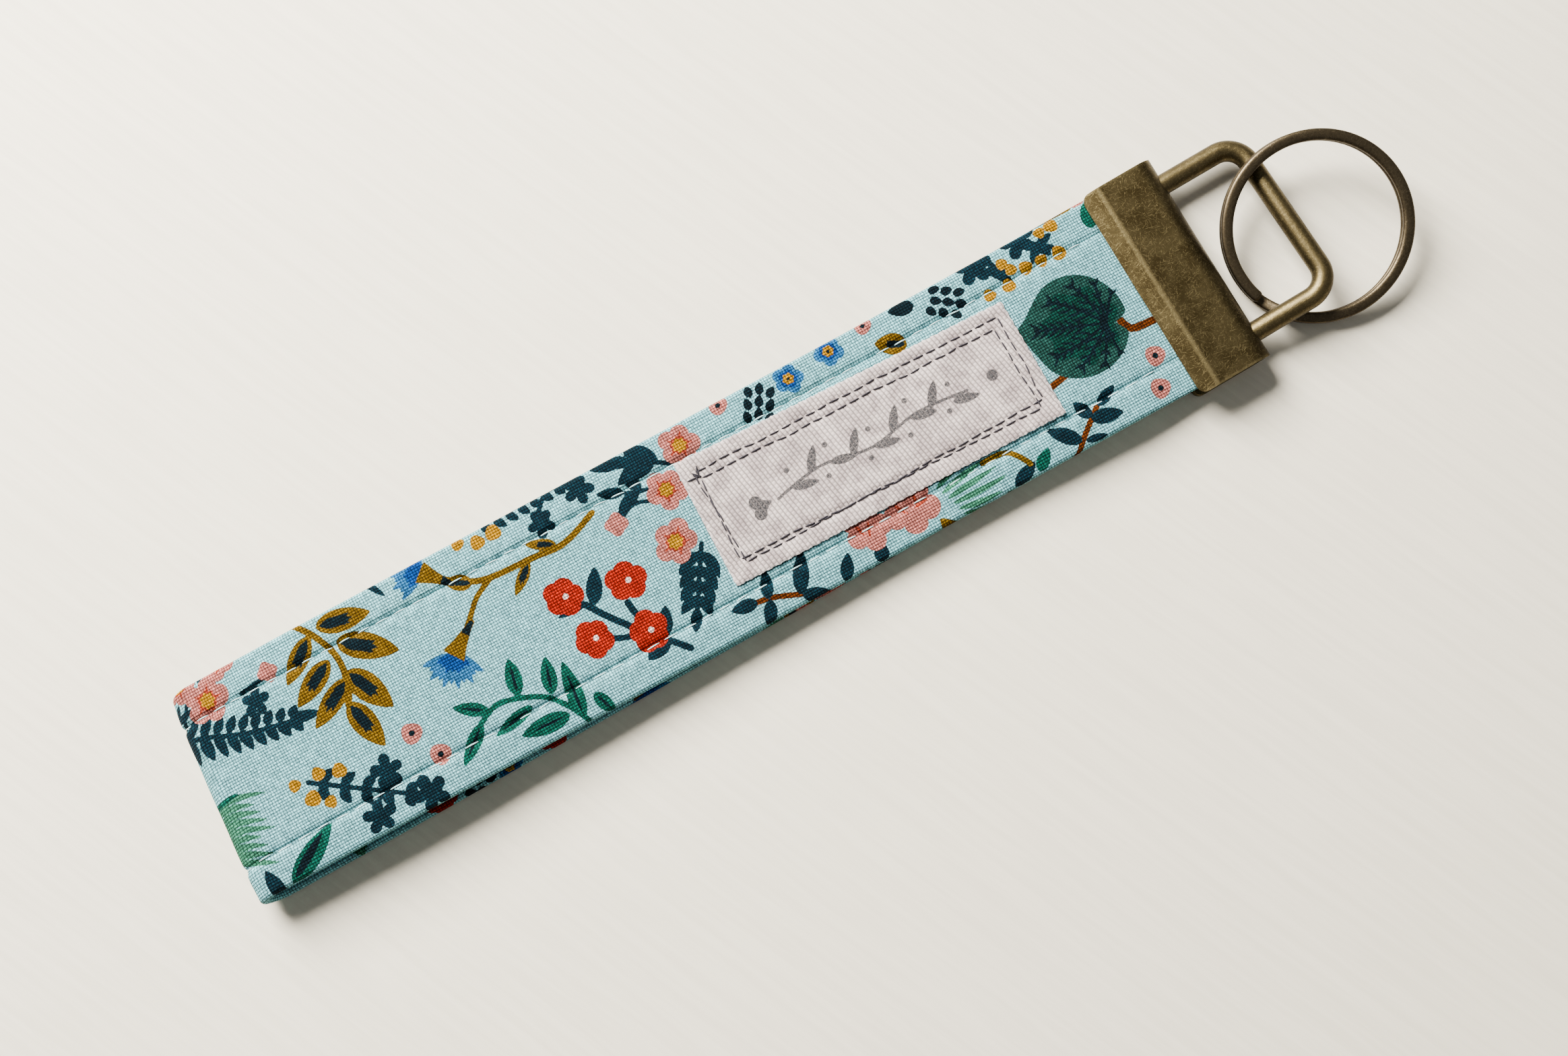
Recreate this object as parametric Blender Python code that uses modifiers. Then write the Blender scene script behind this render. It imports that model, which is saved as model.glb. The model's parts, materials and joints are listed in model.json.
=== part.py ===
"""Wristlet keychain: a printed cotton strap folded into a wrist loop, its two ends gripped by a
folded brass clamp, with a wire bail and a two-coil split ring.

Metres, +Z up. The object lies flat: +X runs from the fold of the loop to the ring, +Y across the strap,
and the origin is under the middle of the whole object, on the surface that it lies on.
"""

import math

import bmesh
import bpy
import numpy as np
from mathutils import Matrix, Vector

MM = 0.001

# Whole object
OVERALL_LENGTH = 192.5 * MM  # from the fold to the ring's far side
FOLD_X = -OVERALL_LENGTH / 2

# Strap: one band of layer thickness LAYER, folded at its middle into an upper and a lower layer
STRAP_WIDTH = 31.8 * MM
STRAP_Y = 0.3 * MM
LAYER = 1.75 * MM
PINCHED_LAYER = 1.0 * MM
PINCH_LENGTH = 9 * MM
SKIN = 0.3 * MM
GAP = 0.06 * MM
THINNEST_CORE = 0.05 * MM
STITCH_Y = 10.8 * MM
DITCH_DEPTH = 0.36 * MM
THREAD_RADIUS = 0.14 * MM
FOLD_SKEW = 0.063
FOLD_SKEW_REACH = 16 * MM

# Height of each layer's middle surface, at distances from the outside of the fold
FOLD_RADIUS = 2.24 * MM
FOLD_CENTRE = FOLD_RADIUS + LAYER / 2
UPPER_HEIGHTS = [(FOLD_CENTRE, FOLD_CENTRE + FOLD_RADIUS), (22 * MM, 5.7 * MM), (60 * MM, 4.3 * MM),
                 (105 * MM, 3.02 * MM), (122 * MM, 3.14 * MM), (134 * MM, 3.5 * MM),
                 (143 * MM, 3.75 * MM), (150.4 * MM, 3.35 * MM), (157 * MM, 3.75 * MM)]
LOWER_HEIGHTS = [(FOLD_CENTRE, LAYER / 2), (118 * MM, LAYER / 2), (143 * MM, 1.85 * MM),
                 (150.4 * MM, 2.25 * MM), (157 * MM, 1.85 * MM)]
# The lower layer lies slightly askew: its sideways offset at two distances from the fold
LOWER_SKEW = [(20 * MM, -0.9 * MM), (150 * MM, 0.5 * MM)]

# Places where the loop bends when it opens, as distances from the fold
FOLD_BEND = 7.0 * MM
ARCH_BEND = 78.1 * MM
MOUTH_BEND = 149.7 * MM
TAIL_END = 158.0 * MM
FOLD_GAP = 0.45 * MM
ARCH_GAP = 1.15 * MM
MOUTH_GAP = 0.3 * MM

# Clamp: sheet folded along its long side, in its own frame (X towards the ring, Y along the fold)
CLAMP_CENTRE = Vector((FOLD_X + 156.7 * MM, 0.17 * MM, 2.8 * MM))
CLAMP_YAW = math.radians(1.7)
CLAMP_LENGTH = 33.5 * MM
CLAMP_DEPTH = 12.0 * MM
CLAMP_THICKNESS = 5.6 * MM
SHEET = 0.8 * MM
LIP_LENGTH = 2.6 * MM
LIP_HALF_GAP = 1.15 * MM
LIP_CORNER = 1.3 * MM
SPINE_CORNER = 0.35 * MM
HOLE_RADIUS = 1.95 * MM

# Bail: wire in the clamp's spine holes, twisted so that its lower end stands higher
WIRE_RADIUS = 1.55 * MM
BAIL_HALF_SPAN = 12.7 * MM
BAIL_REACH = 12.9 * MM
BAIL_CORNER = 3.6 * MM
BAIL_PIVOT_X = CLAMP_DEPTH / 2 - SHEET / 2
BAIL_INSIDE = 1.9 * MM
LOWER_LEG_SLOPE = 0.192
UPPER_LEG_SLOPE = 0.004
HEAD_SIZE = Vector((0.55, 2.4, 1.15)) * MM

# Split ring: two coils of half-round wire, leaning on the bail's crossbar
RING_RADIUS = 14.0 * MM
RING_BAND = 1.7 * MM
COIL_HEIGHT = 1.05 * MM
COIL_PITCH = 1.12 * MM
RING_CENTRE = (FOLD_X + 178.5 * MM, -3.15 * MM)
RING_TILT = math.radians(12.8)
RING_TILT_TOWARDS = math.radians(57)
CROSSOVER_AT = math.radians(203)
CROSSOVER = math.radians(20)

# Label: hand-cut twill, corners as (distance from the fold, Y)
LABEL_CORNERS = [(79.4, -8.8), (132.8, -9.6), (132.6, 9.1), (79.7, 10.9)]
LABEL_THICKNESS = 0.42 * MM
LABEL_THREAD_RADIUS = 0.11 * MM
LABEL_ROWS = {"outer": 2.3 * MM, "inner": 3.3 * MM}


def clear_scene():
    for old in list(bpy.data.objects):
        bpy.data.objects.remove(old, do_unlink=True)


def collection(name):
    made = bpy.data.collections.new(name)
    bpy.context.scene.collection.children.link(made)
    return made


def material(name, color, roughness, metallic):
    made = bpy.data.materials.new(name)
    made.use_nodes = True
    shader = made.node_tree.nodes["Principled BSDF"]
    shader.inputs["Base Color"].default_value = (*color, 1)
    shader.inputs["Roughness"].default_value = roughness
    shader.inputs["Metallic"].default_value = metallic
    return made


def add(name, data, where, look=None, parent=None):
    made = bpy.data.objects.new(name, data)
    where.objects.link(made)
    if look:
        data.materials.append(look)
    made.parent = parent
    return made


def mesh_of(name, bm):
    bmesh.ops.recalc_face_normals(bm, faces=bm.faces)
    mesh = bpy.data.meshes.new(name)
    bm.to_mesh(mesh)
    bm.free()
    return mesh


def smooth_through(knots, at):
    """Cubic Hermite curve through the knots, with the slopes of their neighbours and level at both ends."""
    x, y = np.array(knots, float).T
    slope = np.zeros(len(x))
    slope[1:-1] = (y[2:] - y[:-2]) / (x[2:] - x[:-2])
    i = np.clip(np.searchsorted(x, at) - 1, 0, len(x) - 2)
    width = x[i + 1] - x[i]
    t = np.clip((at - x[i]) / width, 0, 1)
    return (y[i] * (1 + 2 * t) * (1 - t) ** 2 + slope[i] * width * t * (1 - t) ** 2
            + y[i + 1] * t * t * (3 - 2 * t) - slope[i + 1] * width * t * t * (1 - t))


def smoothstep(t):
    t = np.clip(t, 0, 1)
    return t * t * (3 - 2 * t)


def layer_thickness(distance):
    """A layer's thickness: full along the strap and pinched at the clamp's lips."""
    near = smoothstep(1 - abs(distance - MOUTH_BEND) / PINCH_LENGTH)
    return LAYER + (PINCHED_LAYER - LAYER) * near


def station(distance, lower):
    """One cross-section's centre, direction of its outer face and thickness, at a distance from the fold."""
    knots = LOWER_HEIGHTS if lower else UPPER_HEIGHTS
    step = 0.1 * MM
    z = float(smooth_through(knots, distance))
    rise = float(smooth_through(knots, distance + step) - smooth_through(knots, distance - step)) / (2 * step)
    y = STRAP_Y + (float(np.interp(distance, *np.array(LOWER_SKEW).T)) if lower else 0)
    outward = Vector((-rise, 0, 1)).normalized() * (-1 if lower else 1)
    return Vector((FOLD_X + distance, y, z)), outward, float(layer_thickness(distance))


def fold_station(angle):
    """A cross-section on the fold, turned by angle from the upper layer (0) round to the lower one (pi)."""
    share = angle / math.pi
    lower_y = station(FOLD_CENTRE, True)[0].y
    outward = Vector((-math.sin(angle), 0, math.cos(angle)))
    centre = Vector((FOLD_X + FOLD_CENTRE, STRAP_Y + (lower_y - STRAP_Y) * share, FOLD_CENTRE))
    return centre + outward * FOLD_RADIUS, outward, LAYER


def outline(thickness, inset, plain=False):
    """The closed cross-section as (y, n) points, inset from the cloth's outside: full between the two
    stitched ditches and rounded at its edges. The plain one leaves out the ditches' shape."""
    half, width = thickness / 2, STRAP_WIDTH / 2
    ditch = half - DITCH_DEPTH * thickness / LAYER
    if plain:
        quarter = [(width / 2, half), (STITCH_Y - 1.2 * MM, half), (STITCH_Y - 0.35 * MM, ditch),
                   (width - 1.3 * MM, half - 0.2 * MM)]
    else:
        quarter = [(STITCH_Y - 1.0 * MM, half), (STITCH_Y - 0.3 * MM, ditch), (STITCH_Y + 0.3 * MM, ditch),
                   (STITCH_Y + 1.1 * MM, half - 0.1 * MM), (width - 1.2 * MM, half - 0.16 * MM),
                   (width, half * 0.4)]
    least = THINNEST_CORE if plain else THINNEST_CORE + GAP
    quarter = [(y - inset * (y > STITCH_Y + 2 * MM), max(n - inset, least)) for y, n in quarter]
    top = [(-y, n) for y, n in reversed(quarter)] + quarter
    return top + [(y, -n) for y, n in reversed(top)]


def place(centre, outward, y, n):
    """A point of a cross-section, with the fold's slight skew."""
    near = 1 - smoothstep((centre.x - FOLD_X) / FOLD_SKEW_REACH)
    point = centre + outward * n
    return Vector((point.x + FOLD_SKEW * y * float(near), point.y + y, point.z))


def skin(bm, stations, inset, plain=False):
    """Rings of points through the cross-sections, with faces between them."""
    rings = []
    for centre, outward, thickness in stations:
        points = outline(thickness, inset, plain)
        rings.append([bm.verts.new(place(centre, outward, y, n)) for y, n in points])
    for first, second in zip(rings, rings[1:]):
        bridge(bm, first, second)
    return rings


def bridge(bm, first, second):
    for i in range(len(first)):
        j = (i + 1) % len(first)
        bm.faces.new((first[i], first[j], second[j], second[i]))


def strap_piece(name, stations, where, looks, parent):
    """One length of the strap: the cotton cover as a sleeve with a wall, and the fleece core inside it."""
    bm = bmesh.new()
    outside, inside = skin(bm, stations, 0.0), skin(bm, stations, SKIN)
    for end in (0, -1):
        bridge(bm, outside[end], inside[end])
    add(f"cover_{name}", mesh_of(f"cover_{name}", bm), where, looks["cotton"], parent)
    bm = bmesh.new()
    rings = skin(bm, stations, SKIN + GAP, True)
    for end in (0, -1):
        bm.faces.new(rings[end])
    add(f"core_{name}", mesh_of(f"core_{name}", bm), where, looks["fleece"], parent)


def tube(name, points, radius, where, look, parent, cyclic=False):
    """A thread: a POLY spline with a round bevel and filled caps."""
    curve = bpy.data.curves.new(name, "CURVE")
    curve.dimensions = "3D"
    curve.bevel_depth = radius
    curve.bevel_resolution = 1
    curve.use_fill_caps = not cyclic
    spline = curve.splines.new("POLY")
    spline.points.add(len(points) - 1)
    for target, point in zip(spline.points, points):
        target.co = (*point, 1)
    spline.use_cyclic_u = cyclic
    return add(name, curve, where, look, parent)


def seam_threads(name, stations, where, look, parent):
    """The needle thread on the loop's outer face and the bobbin thread on its inner face, for both seams."""
    for side, y in (("left", STITCH_Y), ("right", -STITCH_Y)):
        for kind, sign in (("needle", 1), ("bobbin", -1)):
            points = []
            for centre, outward, thickness in stations:
                lift = thickness / 2 - DITCH_DEPTH * thickness / LAYER + THREAD_RADIUS + GAP
                points.append(place(centre, outward, y, sign * lift))
            tube(f"{kind}_thread_{side}_{name}", points, THREAD_RADIUS, where, look, parent)


def pulled_in(stations, by):
    """The same cross-sections, ending a little short of both ends, so that threads stay off the gaps."""
    first = stations[0][0].lerp(stations[1][0], by), *stations[0][1:]
    last = stations[-1][0].lerp(stations[-2][0], by), *stations[-1][1:]
    return [first, *stations[1:-1], last]


def make_strap(where, looks, bodies):
    cuts = {
        "upper_tail": (False, MOUTH_BEND + MOUTH_GAP / 2, TAIL_END, 4),
        "upper_root": (False, ARCH_BEND + ARCH_GAP / 2, MOUTH_BEND - MOUTH_GAP / 2, 9),
        "upper_tip": (False, FOLD_BEND + FOLD_GAP / 2, ARCH_BEND - ARCH_GAP / 2, 8),
        "lower_tip": (True, FOLD_BEND + FOLD_GAP / 2, ARCH_BEND - ARCH_GAP / 2, 4),
        "lower_root": (True, ARCH_BEND + ARCH_GAP / 2, MOUTH_BEND - MOUTH_GAP / 2, 8),
        "lower_tail": (True, MOUTH_BEND + MOUTH_GAP / 2, TAIL_END, 4),
    }
    runs = {name: [station(d, lower) for d in np.linspace(start, end, count)]
            for name, (lower, start, end, count) in cuts.items()}
    reach = FOLD_BEND - FOLD_GAP / 2
    bend = [fold_station(angle) for angle in np.linspace(0, math.pi, 9)]
    runs["fold"] = [station(reach, False), *bend, station(reach, True)]
    for name, stations in runs.items():
        body = bodies[name]
        strap_piece(name, stations, where, looks, body)
        if "tail" not in name:
            seam_threads(name, pulled_in(stations, 0.1), where, looks["white_thread"], body)


def upper_surface(distance, above):
    """A point's height over the upper layer's outer face, at a distance from the fold."""
    centre, _, thickness = station(distance, False)
    return centre.z + thickness / 2 + above


def label_point(s, t):
    """A point on the label, for s along it and t across it, each from 0 to 1, as (distance, y)."""
    a, b, c, d = (Vector(corner) * MM for corner in LABEL_CORNERS)
    return a.lerp(b, s).lerp(d.lerp(c, s), t)


def make_label(where, looks, body):
    bm = bmesh.new()
    columns = []
    for s in np.linspace(0, 1, 10):
        column = []
        for t, above in ((0, 0), (1, 0), (1, LABEL_THICKNESS), (0, LABEL_THICKNESS)):
            distance, y = label_point(s, t)
            z = upper_surface(distance, GAP + above)
            column.append(bm.verts.new((FOLD_X + distance, y, z)))
        columns.append(column)
    for first, second in zip(columns, columns[1:]):
        for i in range(4):
            j = (i + 1) % 4
            bm.faces.new((first[i], first[j], second[j], second[i]))
    bm.faces.new(columns[0])
    bm.faces.new(columns[-1])
    add("label", mesh_of("label", bm), where, looks["twill"], body)

    length = (LABEL_CORNERS[1][0] - LABEL_CORNERS[0][0]) * MM
    width = (LABEL_CORNERS[3][1] - LABEL_CORNERS[0][1]) * MM
    for row, inset in LABEL_ROWS.items():
        a, b = inset / length, inset / width
        along = np.linspace(a, 1 - a, 9)
        path = [(s, b) for s in along] + [(s, 1 - b) for s in reversed(along)]
        for kind in ("needle", "bobbin"):
            points = []
            for s, t in path:
                distance, y = label_point(s, t)
                if kind == "needle":
                    z = upper_surface(distance, 2 * GAP + LABEL_THICKNESS + LABEL_THREAD_RADIUS)
                else:
                    z = upper_surface(distance, -layer_thickness(distance) - GAP - LABEL_THREAD_RADIUS)
                points.append(Vector((FOLD_X + distance, y, z)))
            name = f"label_{kind}_thread_{row}"
            tube(name, points, LABEL_THREAD_RADIUS, where, looks["grey_thread"], body, True)


def arc(centre, radius, start, end, count):
    """Points on an arc, as (x, y)."""
    angles = np.linspace(start, end, count)
    return [(centre[0] + radius * math.cos(a), centre[1] + radius * math.sin(a)) for a in angles]


def prism(name, points, thickness, where):
    """A flat outline as a 2D curve with a thickness, made a mesh so that a Boolean can use it."""
    curve = bpy.data.curves.new(name, "CURVE")
    curve.dimensions = "2D"
    curve.fill_mode = "BOTH"
    curve.extrude = thickness / 2
    spline = curve.splines.new("POLY")
    spline.points.add(len(points) - 1)
    for target, (x, y) in zip(spline.points, points):
        target.co = (x, y, 0, 1)
    spline.use_cyclic_u = True
    return as_mesh(add(name, curve, where))


def as_mesh(source):
    """A curve object made a mesh object of the same name and place, with its caps welded."""
    bpy.context.view_layer.update()
    graph = bpy.context.evaluated_depsgraph_get()
    mesh = bpy.data.meshes.new_from_object(source.evaluated_get(graph))
    bm = bmesh.new()
    bm.from_mesh(mesh)
    bmesh.ops.remove_doubles(bm, verts=bm.verts, dist=0.001 * MM)
    bmesh.ops.recalc_face_normals(bm, faces=bm.faces)
    bm.to_mesh(mesh)
    bm.free()
    name, parent, where = source.name, source.parent, source.users_collection[0]
    world = source.matrix_world.copy()
    bpy.data.objects.remove(source, do_unlink=True)
    made = add(name, mesh, where, None, parent)
    made.matrix_world = world
    return made


def as_cutter(cutter):
    cutter.hide_render = True
    cutter.display_type = "WIRE"
    return cutter


def boolean(target, cutter, operation):
    step = target.modifiers.new(operation.lower(), "BOOLEAN")
    step.operation = operation
    step.object = cutter
    step.solver = "EXACT"


def clamp_profile():
    """The sheet's middle line from the upper lip round the spine to the lower lip, as (x, z)."""
    half = (CLAMP_THICKNESS - SHEET) / 2
    mouth, crease = -CLAMP_DEPTH / 2, -CLAMP_DEPTH / 2 + LIP_LENGTH
    lip = LIP_HALF_GAP + SHEET / 2
    turn = arc((BAIL_PIVOT_X - half, 0), half, math.pi / 2, -math.pi / 2, 13)
    return [(mouth, lip), (crease, half), *turn, (crease, -half), (mouth, -lip)]


def make_clamp(where, cutters, look, frame):
    bm = bmesh.new()
    ends = []
    for y in (-CLAMP_LENGTH / 2 - SHEET, CLAMP_LENGTH / 2 + SHEET):
        ends.append([bm.verts.new((x, y, z)) for x, z in clamp_profile()])
    for i in range(len(ends[0]) - 1):
        bm.faces.new((ends[0][i], ends[1][i], ends[1][i + 1], ends[0][i + 1]))
    clamp = add("clamp", mesh_of("clamp", bm), where, look, frame)
    sheet = clamp.modifiers.new("sheet", "SOLIDIFY")
    sheet.thickness = SHEET
    sheet.offset = 0
    sheet.use_even_offset = True

    x, y = CLAMP_DEPTH / 2, CLAMP_LENGTH / 2
    plan = []
    for sign_x, sign_y, radius, start in ((1, 1, SPINE_CORNER, 0), (-1, 1, LIP_CORNER, 90),
                                          (-1, -1, LIP_CORNER, 180), (1, -1, SPINE_CORNER, 270)):
        centre = (sign_x * (x - radius), sign_y * (y - radius))
        plan += arc(centre, radius, math.radians(start), math.radians(start + 90), 5)
    trim = as_cutter(prism("clamp_plan", plan, 2 * CLAMP_THICKNESS, cutters))
    trim.parent = frame
    boolean(clamp, trim, "INTERSECT")
    for side in (1, -1):
        bpy.ops.mesh.primitive_cylinder_add(vertices=24, radius=HOLE_RADIUS, depth=5 * MM)
        hole = as_cutter(bpy.context.object)
        hole.name = f"spine_hole_{'left' if side > 0 else 'right'}"
        for old in hole.users_collection:
            old.objects.unlink(hole)
        cutters.objects.link(hole)
        hole.parent = frame
        hole.rotation_euler = (0, math.pi / 2, 0)
        hole.location = (CLAMP_DEPTH / 2 - 0.1 * MM, side * BAIL_HALF_SPAN, 0)
        boolean(clamp, hole, "DIFFERENCE")
    return clamp


def bail_height(x, y):
    """Height of the wire over the clamp's middle: each leg has its own slope, and the crossbar joins them."""
    share = (y / BAIL_HALF_SPAN + 1) / 2
    return x * (LOWER_LEG_SLOPE + (UPPER_LEG_SLOPE - LOWER_LEG_SLOPE) * share)


def make_bail(where, look, pivot):
    """The wire, in the frame of its pivot: X out of the spine, Y along it."""
    far, span, corner = BAIL_REACH, BAIL_HALF_SPAN, BAIL_CORNER
    flat = [(-BAIL_INSIDE, span), (0, span), (far - corner, span)]
    flat += arc((far - corner, span - corner), corner, math.pi / 2, 0, 8)
    flat += [(far, y) for y in (4 * MM, -4 * MM)]
    flat += arc((far - corner, corner - span), corner, 0, -math.pi / 2, 8)
    flat += [(0, -span), (-BAIL_INSIDE, -span)]
    points = [Vector((x, y, bail_height(x, y))) for x, y in flat]
    wire = tube("bail", points, WIRE_RADIUS, where, None, pivot)
    wire.data.bevel_resolution = 3
    bail = as_mesh(wire)
    bail.data.materials.append(look)
    for side in (1, -1):
        bm = bmesh.new()
        y = side * span
        shape = Matrix.Translation((-BAIL_INSIDE, y, bail_height(-BAIL_INSIDE, y)))
        shape = shape @ Matrix.Diagonal((*HEAD_SIZE, 1))
        bmesh.ops.create_uvsphere(bm, u_segments=16, v_segments=8, radius=1, matrix=shape)
        head_name = f"bail_head_{'left' if side > 0 else 'right'}"
        head = add(head_name, mesh_of("head", bm), pivot.users_collection[0])
        as_cutter(head).parent = pivot
        boolean(bail, head, "UNION")
    return bail


def make_ring(where, cutters, look, frame):
    """Two coils: the wire runs once round below, crosses over, and runs once round above."""
    band, height = RING_BAND / 2, COIL_HEIGHT / 2
    rim = [(band * math.cos(a), height * math.copysign(abs(math.sin(a)) ** 0.7, math.sin(a)))
           for a in np.linspace(2 * math.pi, 0, 11)[:-1]]
    shape = bpy.data.curves.new("ring_wire_section", "CURVE")
    shape.dimensions = "2D"
    spline = shape.splines.new("POLY")
    spline.points.add(len(rim) - 1)
    for target, (x, y) in zip(spline.points, rim):
        target.co = (x, y, 0, 1)
    spline.use_cyclic_u = True
    guide = as_cutter(add("ring_wire_section", shape, cutters))

    start = CROSSOVER_AT + CROSSOVER + math.radians(2)
    total = 4 * math.pi - CROSSOVER - math.radians(2)
    turned = np.linspace(0, total, 97)
    lower_run = 2 * math.pi - CROSSOVER - math.radians(2)
    lift = COIL_PITCH * smoothstep((turned - lower_run) / CROSSOVER)
    radius = RING_RADIUS - RING_BAND / 2
    curve = bpy.data.curves.new("split_ring", "CURVE")
    curve.dimensions = "3D"
    curve.twist_mode = "Z_UP"
    curve.bevel_mode = "OBJECT"
    curve.bevel_object = guide
    curve.use_fill_caps = True
    path = curve.splines.new("POLY")
    path.points.add(len(turned) - 1)
    for target, a, z in zip(path.points, start + turned, lift):
        target.co = (radius * math.cos(a), radius * math.sin(a), COIL_HEIGHT / 2 + float(z), 1)
    return add("split_ring", curve, where, look, frame)


def empty(name, where, matrix, parent=None):
    made = bpy.data.objects.new(name, None)
    made.empty_display_size = 3 * MM
    where.objects.link(made)
    made.parent = parent
    made.matrix_world = matrix
    bpy.context.view_layer.update()
    return made


def hinge_frames(where, clamp_frame):
    """Empties on the joints' axes, which the moving pieces are parented to, keeping their places."""
    upper, lower = UPPER_HEIGHTS, LOWER_HEIGHTS
    places = {
        "upper_root": (MOUTH_BEND, float(smooth_through(upper, MOUTH_BEND)) + PINCHED_LAYER / 2),
        "upper_tip": (ARCH_BEND, float(smooth_through(upper, ARCH_BEND))),
        "fold": (FOLD_BEND, float(smooth_through(upper, FOLD_BEND)) + LAYER / 8),
        "lower_tip": (FOLD_BEND, 0.0),
        "lower_root": (ARCH_BEND, LAYER),
    }
    frames, parent = {}, clamp_frame
    for name, (distance, z) in places.items():
        spot = Matrix.Translation((FOLD_X + distance, STRAP_Y, z))
        frames[name] = parent = empty(f"{name}_hinge", where, spot, parent)
    frames["upper_tail"] = frames["lower_tail"] = clamp_frame
    return frames


def keep_place(objects):
    """Objects made in world coordinates stay where they are under their parent."""
    bpy.context.view_layer.update()
    for each in objects:
        if each.parent:
            each.matrix_parent_inverse = each.parent.matrix_world.inverted()


def main():
    clear_scene()
    keychain, cutters = collection("wristlet_keychain"), collection("cutters")
    looks = {
        "cotton": material("printed_cotton", (0.60, 0.74, 0.72), 0.9, 0.0),
        "fleece": material("fleece", (0.85, 0.84, 0.80), 0.95, 0.0),
        "white_thread": material("white_thread", (0.86, 0.88, 0.86), 0.7, 0.0),
        "grey_thread": material("grey_thread", (0.22, 0.21, 0.24), 0.7, 0.0),
        "twill": material("twill", (0.62, 0.59, 0.58), 0.9, 0.0),
        "clamp_brass": material("clamp_brass", (0.19, 0.15, 0.09), 0.42, 1.0),
        "bail_brass": material("bail_brass", (0.27, 0.23, 0.14), 0.33, 1.0),
        "ring_brass": material("ring_brass", (0.17, 0.14, 0.10), 0.33, 1.0),
    }
    clamp_place = Matrix.Translation(CLAMP_CENTRE) @ Matrix.Rotation(CLAMP_YAW, 4, "Z")
    clamp_frame = empty("clamp_frame", cutters, clamp_place)
    frames = hinge_frames(cutters, clamp_frame)
    make_strap(keychain, looks, frames)
    make_label(keychain, looks, frames["upper_root"])
    keep_place(keychain.objects)

    make_clamp(keychain, cutters, looks["clamp_brass"], clamp_frame)
    pivot_place = clamp_frame.matrix_world @ Matrix.Translation((BAIL_PIVOT_X, 0, 0))
    pivot = empty("bail_pivot", cutters, pivot_place, clamp_frame)
    make_bail(keychain, looks["bail_brass"], pivot)

    lean_axis = Vector((-math.sin(RING_TILT_TOWARDS), math.cos(RING_TILT_TOWARDS), 0))
    lean = Matrix.Rotation(-RING_TILT, 4, lean_axis)
    lowest = RING_RADIUS * math.sin(RING_TILT)
    spot = Matrix.Translation((*RING_CENTRE, lowest)) @ lean
    crossbar = pivot.matrix_world @ Matrix.Translation((BAIL_REACH, 0, bail_height(BAIL_REACH, 0)))
    swing = empty("ring_swing", cutters, crossbar, pivot)
    ring = make_ring(keychain, cutters, looks["ring_brass"], swing)
    ring.matrix_world = spot


main()
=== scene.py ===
import json
import math
import bpy
import numpy as np
from mathutils import Matrix, Vector


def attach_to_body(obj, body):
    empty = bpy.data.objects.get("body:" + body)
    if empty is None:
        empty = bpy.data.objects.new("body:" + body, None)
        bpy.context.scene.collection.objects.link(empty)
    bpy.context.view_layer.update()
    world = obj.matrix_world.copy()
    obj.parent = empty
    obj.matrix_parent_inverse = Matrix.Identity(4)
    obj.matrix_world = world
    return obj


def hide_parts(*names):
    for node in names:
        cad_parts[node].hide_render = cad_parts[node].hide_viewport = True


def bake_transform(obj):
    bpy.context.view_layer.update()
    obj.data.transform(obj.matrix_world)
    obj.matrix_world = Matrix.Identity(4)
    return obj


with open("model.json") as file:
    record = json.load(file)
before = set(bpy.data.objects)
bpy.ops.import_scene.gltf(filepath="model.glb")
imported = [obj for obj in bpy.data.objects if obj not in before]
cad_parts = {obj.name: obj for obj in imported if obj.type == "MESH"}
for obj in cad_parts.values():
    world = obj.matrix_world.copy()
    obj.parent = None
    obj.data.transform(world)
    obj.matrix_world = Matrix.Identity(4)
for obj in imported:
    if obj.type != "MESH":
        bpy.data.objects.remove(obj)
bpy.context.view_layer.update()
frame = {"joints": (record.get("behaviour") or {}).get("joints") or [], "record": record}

# Lengths below are millimetres until a mesh is made, which is in metres.
mm = 0.001
dice = np.random.default_rng(11)
joints = {each["name"]: each for each in frame["joints"]}
mounts = {each["name"]: each for each in frame["record"]["mounts"]}


def jointPlace(name):
    # Where a joint is, in millimetres.
    return np.array(joints[name]["pos_m"]) / mm


# The strap's line, widths and sewing; distances along it start at the fold's outside.
strap = {
    "foldX": jointPlace("fold_upper_side")[0] - 7.0,
    "middle": 0.3,
    "width": 31.8,
    "edge": 0.8,  # radius of the rounded long edges
    "thickness": 1.75,
    "pinched": 1.0,  # thickness between the clamp's lips
    "pinchReach": 9.0,
    "foldRadius": 2.24,
    "foldSkew": 0.063,
    "skewReach": 16.0,
    "mouth": 149.7,
    "upper": [(3.115, 5.355), (22, 5.7), (60, 4.3), (105, 3.02), (122, 3.14), (134, 3.5), (143, 3.75),
              (150.4, 3.35), (157, 3.75)],
    "lower": [(3.115, 0.875), (118, 0.875), (143, 1.85), (150.4, 2.25), (157, 1.85)],
    "lowerSkew": [(20, -0.9), (150, 0.5)],
    "wall": 0.3,  # the cotton's thickness over the fleece
    "cell": 0.25,  # grid step of the cotton's outer face and of its length
    "innerCell": 0.5,
    "coreCell": 2.0,
    "ripple": 0.09,
}
topstitch = {"line": 10.8, "length": 2.9, "gap": 0.55, "radius": 0.115, "ditch": 0.36, "pucker": 0.2}
cotton = {
    "pitch": 0.42,  # one thread and its gap
    "ground": (178, 207, 210),
    # gap: how light the gaps between threads stay, a painted shade.
    "gap": 0.22,
    "mint": (92, 164, 132),
    "brown": (122, 66, 34),
    "gold": (146, 112, 26),
    "green": (34, 112, 94),
    "deepGreen": (26, 78, 68),
    "teal": (52, 96, 88),
    "navy": (28, 58, 70),
    "blue": (84, 146, 206),
    "deep": (40, 96, 178),
    "pink": (232, 150, 140),
    "coral": (214, 96, 78),
    "red": (212, 66, 42),
    "yellow": (212, 156, 0),
    "dark": (20, 40, 48),
    "spark": (236, 214, 206),
}
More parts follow.
